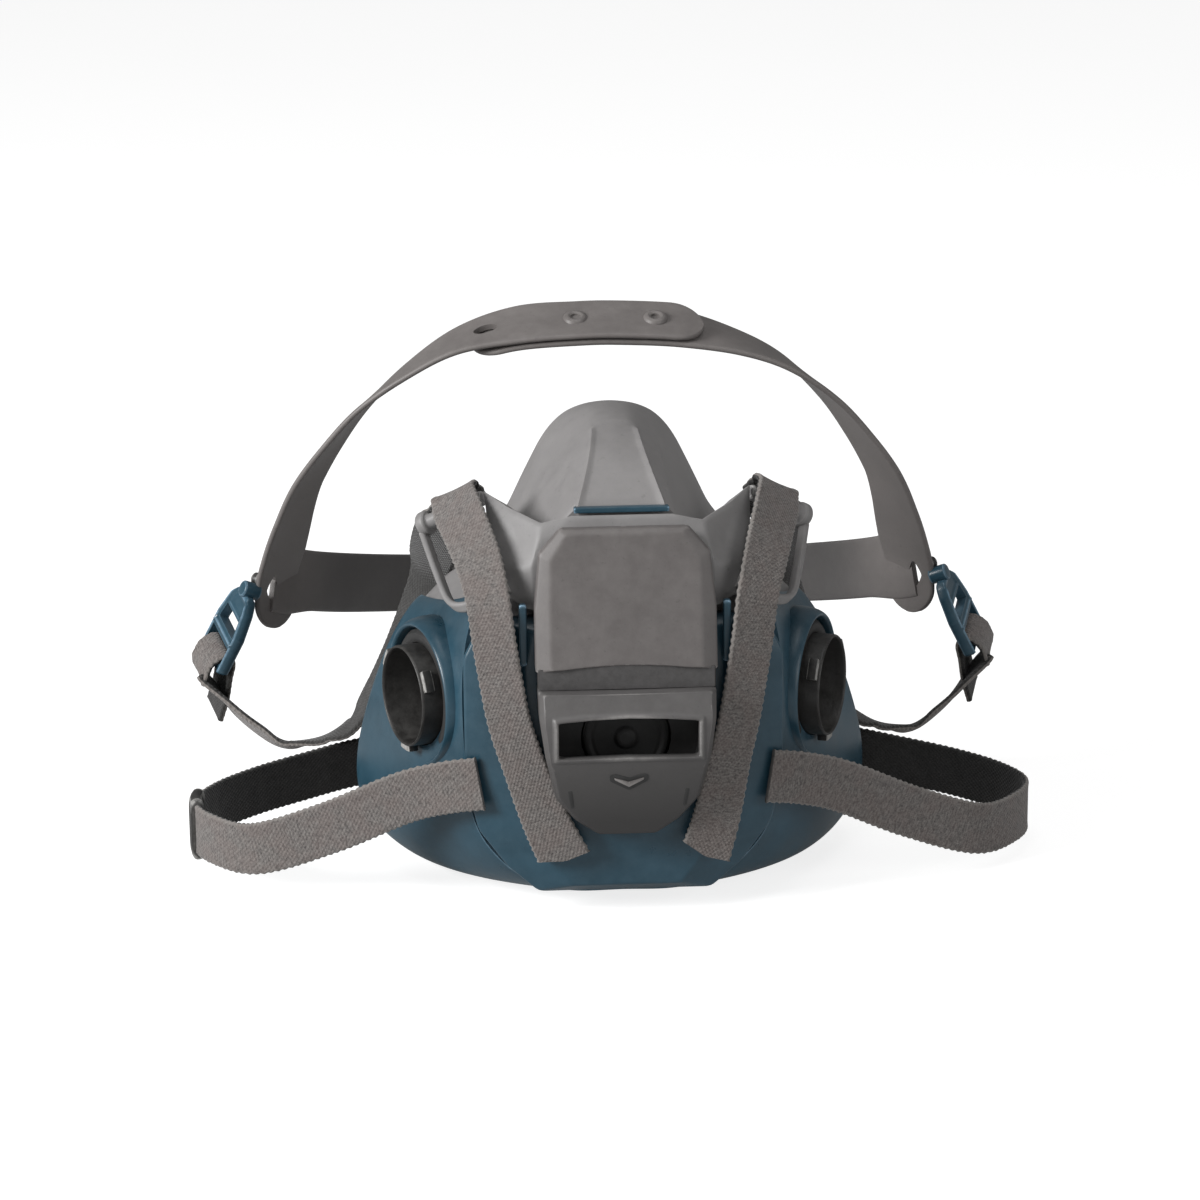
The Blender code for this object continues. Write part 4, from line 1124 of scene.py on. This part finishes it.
def build_buckles():
    """Ladder buckles: a two-faced plate with a cut for each slot, a recessed panel above them
    and two raised ridges that run down it."""
    for label, side in SIDES:
        top, long, wide, out = buckle_frame(side)
        a = np.unique(np.concatenate([np.linspace(0, BUCKLE_LENGTH, 61)]
                                     + [slot_ends for slot_ends, _ in BUCKLE_SLOTS]))
        f = np.unique(np.concatenate([np.linspace(-1, 1, 49)]
                                     + [(-share, share) for _, share in BUCKLE_SLOTS]))
        half = np.interp(a, [0, 1.2, 4, 12, BUCKLE_LENGTH], [4.0, 5.6, 7.6, 10, 10])
        half = half * np.sqrt(np.clip(1 - np.maximum(a - 23.4, 0) ** 2 / 9, 0.1, 1))
        grid_a, grid_b = np.meshgrid(a, f, indexing="ij")
        grid_b = grid_b * half[:, None]
        share = np.abs(f)[None]
        mid_a = ((a[1:] + a[:-1]) / 2)[:, None]
        mid_f = np.abs((f[1:] + f[:-1]) / 2)[None]
        keep = np.ones((len(a) - 1, len(f) - 1), bool)
        for (begin, finish), cut in BUCKLE_SLOTS:
            keep &= ~((mid_a > begin) & (mid_a < finish) & (mid_f < cut))
        thick = BUCKLE_THICK * np.ones(grid_a.shape)
        thick += 0.55 * np.exp(-((share - 0.9) / 0.05) ** 2) * ramp(grid_a, 1, 3)
        thick += 0.5 * np.exp(-((grid_a - 14.8) / 0.5) ** 2) * (share < 0.9)
        thick -= 0.4 * ramp(share, 0.75, 0.6) * ramp(grid_a, 1.2, 2.2) * ramp(grid_a, 6.6, 5.8)
        edge = np.minimum(np.minimum(grid_a, BUCKLE_LENGTH - grid_a) / 0.9,
                          (1 - share) * half[:, None] / 0.7)
        thick *= 0.55 + 0.45 * np.sqrt(np.clip(edge, 0, 1))
        plane = top + grid_a[..., None] * long + grid_b[..., None] * wide
        place = lambda h: plane + h[..., None] * out
        skin = Skin()
        skin.add(walled(place(thick), place(-np.minimum(thick, BUCKLE_THICK)), keep))
        piece(f"ladder_buckle_{label}", skin, blue, f"buckle_{label}",
              (f"buckle_{label}",), crease=35)
        pivot = [(0.1, -3.2), (2.2, -3.2), (2.6, -2.8), (2.6, 2.2), (2.2, 2.6), (0.1, 2.6)]
        piece(f"buckle_pivot_{label}", lathe(pivot, (0.3, 3), top - long * 1.2, out, 36), blue)


def build_fittings():
    """Small black fittings: end anchors, the slide on the left neck strap and the clasp."""
    for label, side in SIDES:
        foot = side_of((19.6 if side < 0 else 22.6, PLATE_FRONT, -44.6), side)
        rivet = [(0.1, 0.0), (2.0, 0.0), (2.0, 1.2), (1.5, 1.8), (0.1, 1.9)]
        piece(f"web_rivet_{label}", lathe(rivet, (0.3, 4), foot, (0, -1, 0), 32), black,
              stands_for=(f"strap_anchor_{label}",))
        skin = Skin()
        low, high = sorted((45.0 * side, 46.6 * side))
        skin.add(block((low, -57.0, -35), (high, -55.0, -22), 0.4))
        piece(f"web_clip_{label}", skin, black, stands_for=(f"neck_anchor_{label}",))
    wide = [(0.0, 0, 1)] * len(NECK_STRAP)
    course = Course(side_of(NECK_STRAP, -1), wide)
    far = np.linalg.norm(course.columns[:, :3] - side_of(NECK_TURN, -1), axis=1)
    at = course.run[np.argmin(far)]
    turn = np.linspace(0, 2 * np.pi, 49)[:-1]
    skin = Skin()
    for begin, finish in ((-5.2, -3.2), (-0.9, 0.9), (3.2, 5.2)):
        rows = []
        for s, grow in ((begin, 0.0), (begin + 0.3, 0.35), (finish - 0.3, 0.35), (finish, 0.0)):
            x = np.sign(np.cos(turn)) * np.abs(np.cos(turn)) ** 0.3 * (8.6 + grow)
            h = np.sign(np.sin(turn)) * np.abs(np.sin(turn)) ** 0.5 * (1.7 + grow)
            rows.append(course.place(at + s, x, h))
        skin.add(capped(np.array(rows)))
    for x in (-8.4, 8.4):
        rows = [course.place(at + s, x + 0.9 * np.cos(turn[::2]), 1.5 * np.sin(turn[::2]))
                for s in np.linspace(-5.0, 5.0, 11)]
        skin.add(capped(np.array(rows)))
    piece("web_slide", skin, black, stands_for=("neck_slide",))
    clasp = {"clasp_socket": ("mask", "neck_clasp_loop",
                              [((0.5, 68.2, -60), (15.2, 71.6, -44), 1.4),
                               ((2.4, 67.7, -57.6), (5.0, 72.1, -46.4), 0.5),
                               ((11.0, 67.7, -58.4), (12.6, 72.1, -45.6), 0.5)]),
             "clasp_tongue": ("clasp_hook", "neck_clasp_hook",
                              [((-15.2, 68.2, -60), (-0.1, 71.6, -44), 1.4),
                               ((-12.6, 67.7, -58.4), (-11.0, 72.1, -45.6), 0.5),
                               ((-6.4, 67.7, -55.0), (-1.8, 72.1, -49.0), 0.8)])}
    for name, (body, stood_for, blocks) in clasp.items():
        skin = Skin()
        for low, high, radius in blocks:
            skin.add(block(low, high, radius))
        piece(name, skin, black, body, (stood_for,))


# ---------------------------------------------------------------- cradle

CROWN = [(6, 46, 81.6), (-6, 46, 81.6), (-24, 46.5, 80.4), (-42, 47.8, 75.7), (-57, 49.6, 67.6),
         (-70.5, 52.6, 56), (-80.8, 56.4, 42.8), (-88.2, 60.6, 30.5), (-92.9, 65.0, 18.5), (-96.6, 69.8, 6.5)]
CROWN_WIDE = [(0, 0.92, 0.39)] * 3 + [(0.05, 0.96, 0.2), (0.1, 0.98, 0.05), (0.16, 0.97, -0.12),
                                      (0.24, 0.95, -0.22), (0.36, 0.9, -0.24), (0.45, 0.87, -0.18),
                                      (0.5, 0.86, -0.1)]
BAND = [(-99.5, 73, -0.5), (-92.5, 84, -5), (-84, 99, -10), (-70, 123, -17), (-50, 143, -22.5),
        (-25, 156, -25.5), (0, 160, -26.5)]
BAND_WIDE = [(0, 0.1, 1), (0, 0.05, 1), (0, 0, 1), (0, -0.05, 1), (0, -0.1, 1), (0, -0.15, 1),
             (0, -0.15, 1)]
LOBE = [(-99.6, 73.0, -5.0), (-99.8, 71.8, -17.2)]
CROWN_OUT = np.array([0, -0.39, 0.92])      # away from the head, on top of the crown
OVERLAP_RISE = 1.2


def build_cradle():
    """Cradle: two crown straps that overlap on top and widen into wings with a rounded lobe and
    a lozenge hole, and a back band whose upper edge flares into the wings."""
    skin = Skin()
    for side in (1, -1):
        over = side > 0
        reach = [(38.0, 47.6, 77.0), (24, 46.5, 80.4)]
        if over:
            reach = [(31.5, 47.1, 78.8), (22, 46.5, 80.6)]
        points = np.array(reach + CROWN + LOBE)
        lifted = (points[:, :1] > -45) * (OVERLAP_RISE if over else -OVERLAP_RISE)
        points = points + lifted * CROWN_OUT
        across = [CROWN_WIDE[0]] * 2 + CROWN_WIDE + [(0.5, 0.86, 0.0), (0.5, 0.86, 0.05)]
        course = Course(side_of(points, side), side_of(across, side))
        total = course.length
        marks = [0, total - 70, total - 51, total - 38, total - 24, total - 12, total]
        far_edge = lambda s: np.interp(s, marks, [9.5, 9.5, 9.0, 10.4, 12.5, 13.0, 11.0])
        near_edge = lambda s: -np.interp(s, marks, [9.5, 9.5, 9.5, 10.0, 10.8, 10.2, 9.5])
        holes = [(total - 13.5, -2.6, 4.9, 3.0, 1.2)]
        if over:
            holes.append((65.5, 0.0, 3.6, 2.4, 2.0))
        surface, chart, _ = strap(course, CRADLE_WIDTH, CRADLE_THICK, step=0.7, low=near_edge,
                                  high=far_edge, holes=holes, rounded=(9.5, 8.0))
        skin.add(surface, chart)
    course = Course(np.vstack([BAND, side_of(BAND[-2::-1], -1)]),
                    np.vstack([BAND_WIDE, side_of(BAND_WIDE[-2::-1], -1)]))
    total = course.length
    flare = lambda s: np.minimum(s, total - s)
    upper = lambda s: 9.5 + 7.0 * (1 - ramp(flare(s), 5, 17)) ** 2
    lower = lambda s: -9.5 - 2.2 * (1 - ramp(flare(s), 4, 26))
    surface, chart, inner = strap(course, CRADLE_WIDTH, CRADLE_THICK, step=1.2, low=lower, high=upper)
    # painted shade: the band's face towards the head darkens towards its middle and stays plain near the wings
    skin.add(surface, chart, (1 - inner) * ramp(flare(chart[:, 1]), 6, 44))
    piece("cradle_frame", skin, cradle_grey, stands_for=("head_cradle",), crease=50)
    for label, x, z in (("front", -6.8, 81.6), ("rear", 17.1, 81.2)):
        stud = [(1.3, 1.2), (3.6, 1.2), (3.7, 1.9), (3.1, 2.7), (2.2, 3.0), (1.4, 2.6)]
        piece(f"crown_button_{label}", lathe(stud, (0.25, 4), (x, 46, z), CROWN_OUT, 48, True),
              cradle_grey, stands_for=(f"crown_stud_{label}",))
    for label, side in SIDES:
        knob = [(0.1, 0.0), (1.9, 0.0), (2.2, 0.6), (2.0, 2.4), (1.2, 3.0), (0.1, 3.1)]
        where, way = side_of((103.2, 66.5, -0.5), side), side_of((0.86, 0.5, 0.1), side)
        piece(f"wing_button_{label}", lathe(knob, (0.4, 4), where, way, 36), black)


# ---------------------------------------------------------------- studio

FLOOR_HALF, FLOOR_Z = 6.0, -0.0668
LAMPS = (("key", (-1.5, -0.75, 0.75), 0.7, 40), ("fill", (1.3, -1.2, 0.6), 1.0, 7),
         ("top", (0.0, -0.3, 1.9), 1.2, 8))                    # place, size and power
TURN, RISE, ROLL = math.radians(-3.5), math.radians(15), math.radians(0.5)
AIM, CAMERA_FAR = np.array([-0.0029, 0, 0.0084]), 1.1
SENSOR, LENS = 36, 113.208


def build_floor():
    """Pale floor: one square, an even tone with a faint cloud, lighter where it is seen."""
    side, z = FLOOR_HALF, FLOOR_Z
    mesh = bpy.data.meshes.new("floor")
    mesh.from_pydata([(-side, -side, z), (side, -side, z), (side, side, z), (-side, side, z)], [],
                     [(0, 1, 2, 3)])
    floor = bpy.data.objects.new("floor", mesh)
    bpy.context.scene.collection.objects.link(floor)
    mat, tree, shader, where = new_material("studio_white")
    shader.inputs["Roughness"].default_value = 0.9
    tone = blended(tree, noise(tree, where, 3.0, 2.0), (0.44, 0.44, 0.44), (0.46, 0.46, 0.46))
    joined(tree, shader.inputs["Base Color"], tone)
    seen = node(tree, "ShaderNodeLightPath").outputs["Is Camera Ray"]
    glow = blended(tree, seen, (0.1, 0.1, 0.1), (0.8, 0.8, 0.8))
    joined(tree, shader.inputs["Emission Color"], glow)
    shader.inputs["Emission Strength"].default_value = 1.0
    mesh.materials.append(mat)


def build_lights():
    """Even pale surroundings and three soft lamps that face the object."""
    world = bpy.data.worlds.new("studio")
    bpy.context.scene.world = world
    world.use_nodes = True
    background = world.node_tree.nodes["Background"]
    background.inputs["Color"].default_value = (1.0, 1.0, 1.0, 1.0)
    background.inputs["Strength"].default_value = 0.2
    for name, spot, size, power in LAMPS:
        data = bpy.data.lights.new(name, "AREA")
        data.size = size
        data.energy = power
        lamp = bpy.data.objects.new(name, data)
        lamp.location = spot
        lamp.rotation_mode = "QUATERNION"
        lamp.rotation_quaternion = Vector(spot).to_track_quat("Z", "Y")
        bpy.context.scene.collection.objects.link(lamp)


def build_camera():
    """Camera turned round the object, raised, rolled a little, and aimed at its middle."""
    back = np.array([math.sin(TURN) * math.cos(RISE), -math.cos(TURN) * math.cos(RISE),
                     math.sin(RISE)])
    right = np.array([math.cos(TURN), math.sin(TURN), 0])
    up = np.cross(back, right)
    across = right * math.cos(ROLL) - up * math.sin(ROLL)
    above = right * math.sin(ROLL) + up * math.cos(ROLL)
    spot = AIM + back * CAMERA_FAR
    data = bpy.data.cameras.new("camera")
    data.sensor_width = SENSOR
    data.lens = LENS
    data.clip_start, data.clip_end = 0.05, 50
    camera = bpy.data.objects.new("camera", data)
    rows = [[across[k], above[k], back[k], spot[k]] for k in range(3)]
    camera.matrix_world = Matrix(rows + [[0, 0, 0, 1]])
    bpy.context.scene.collection.objects.link(camera)
    bpy.context.scene.camera = camera
    bpy.context.scene.view_settings.view_transform = "Standard"


for build in (build_seal, build_shell, build_plate, build_yoke, build_latch, build_exhaust,
              build_marks, build_valves, build_ports, build_head_straps, build_neck_straps,
              build_buckles, build_fittings, build_cradle, build_floor, build_lights, build_camera):
    build()
pin_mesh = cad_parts["latch_pin"].data
pin_mesh.materials.clear()
pin_mesh.materials.append(steel)
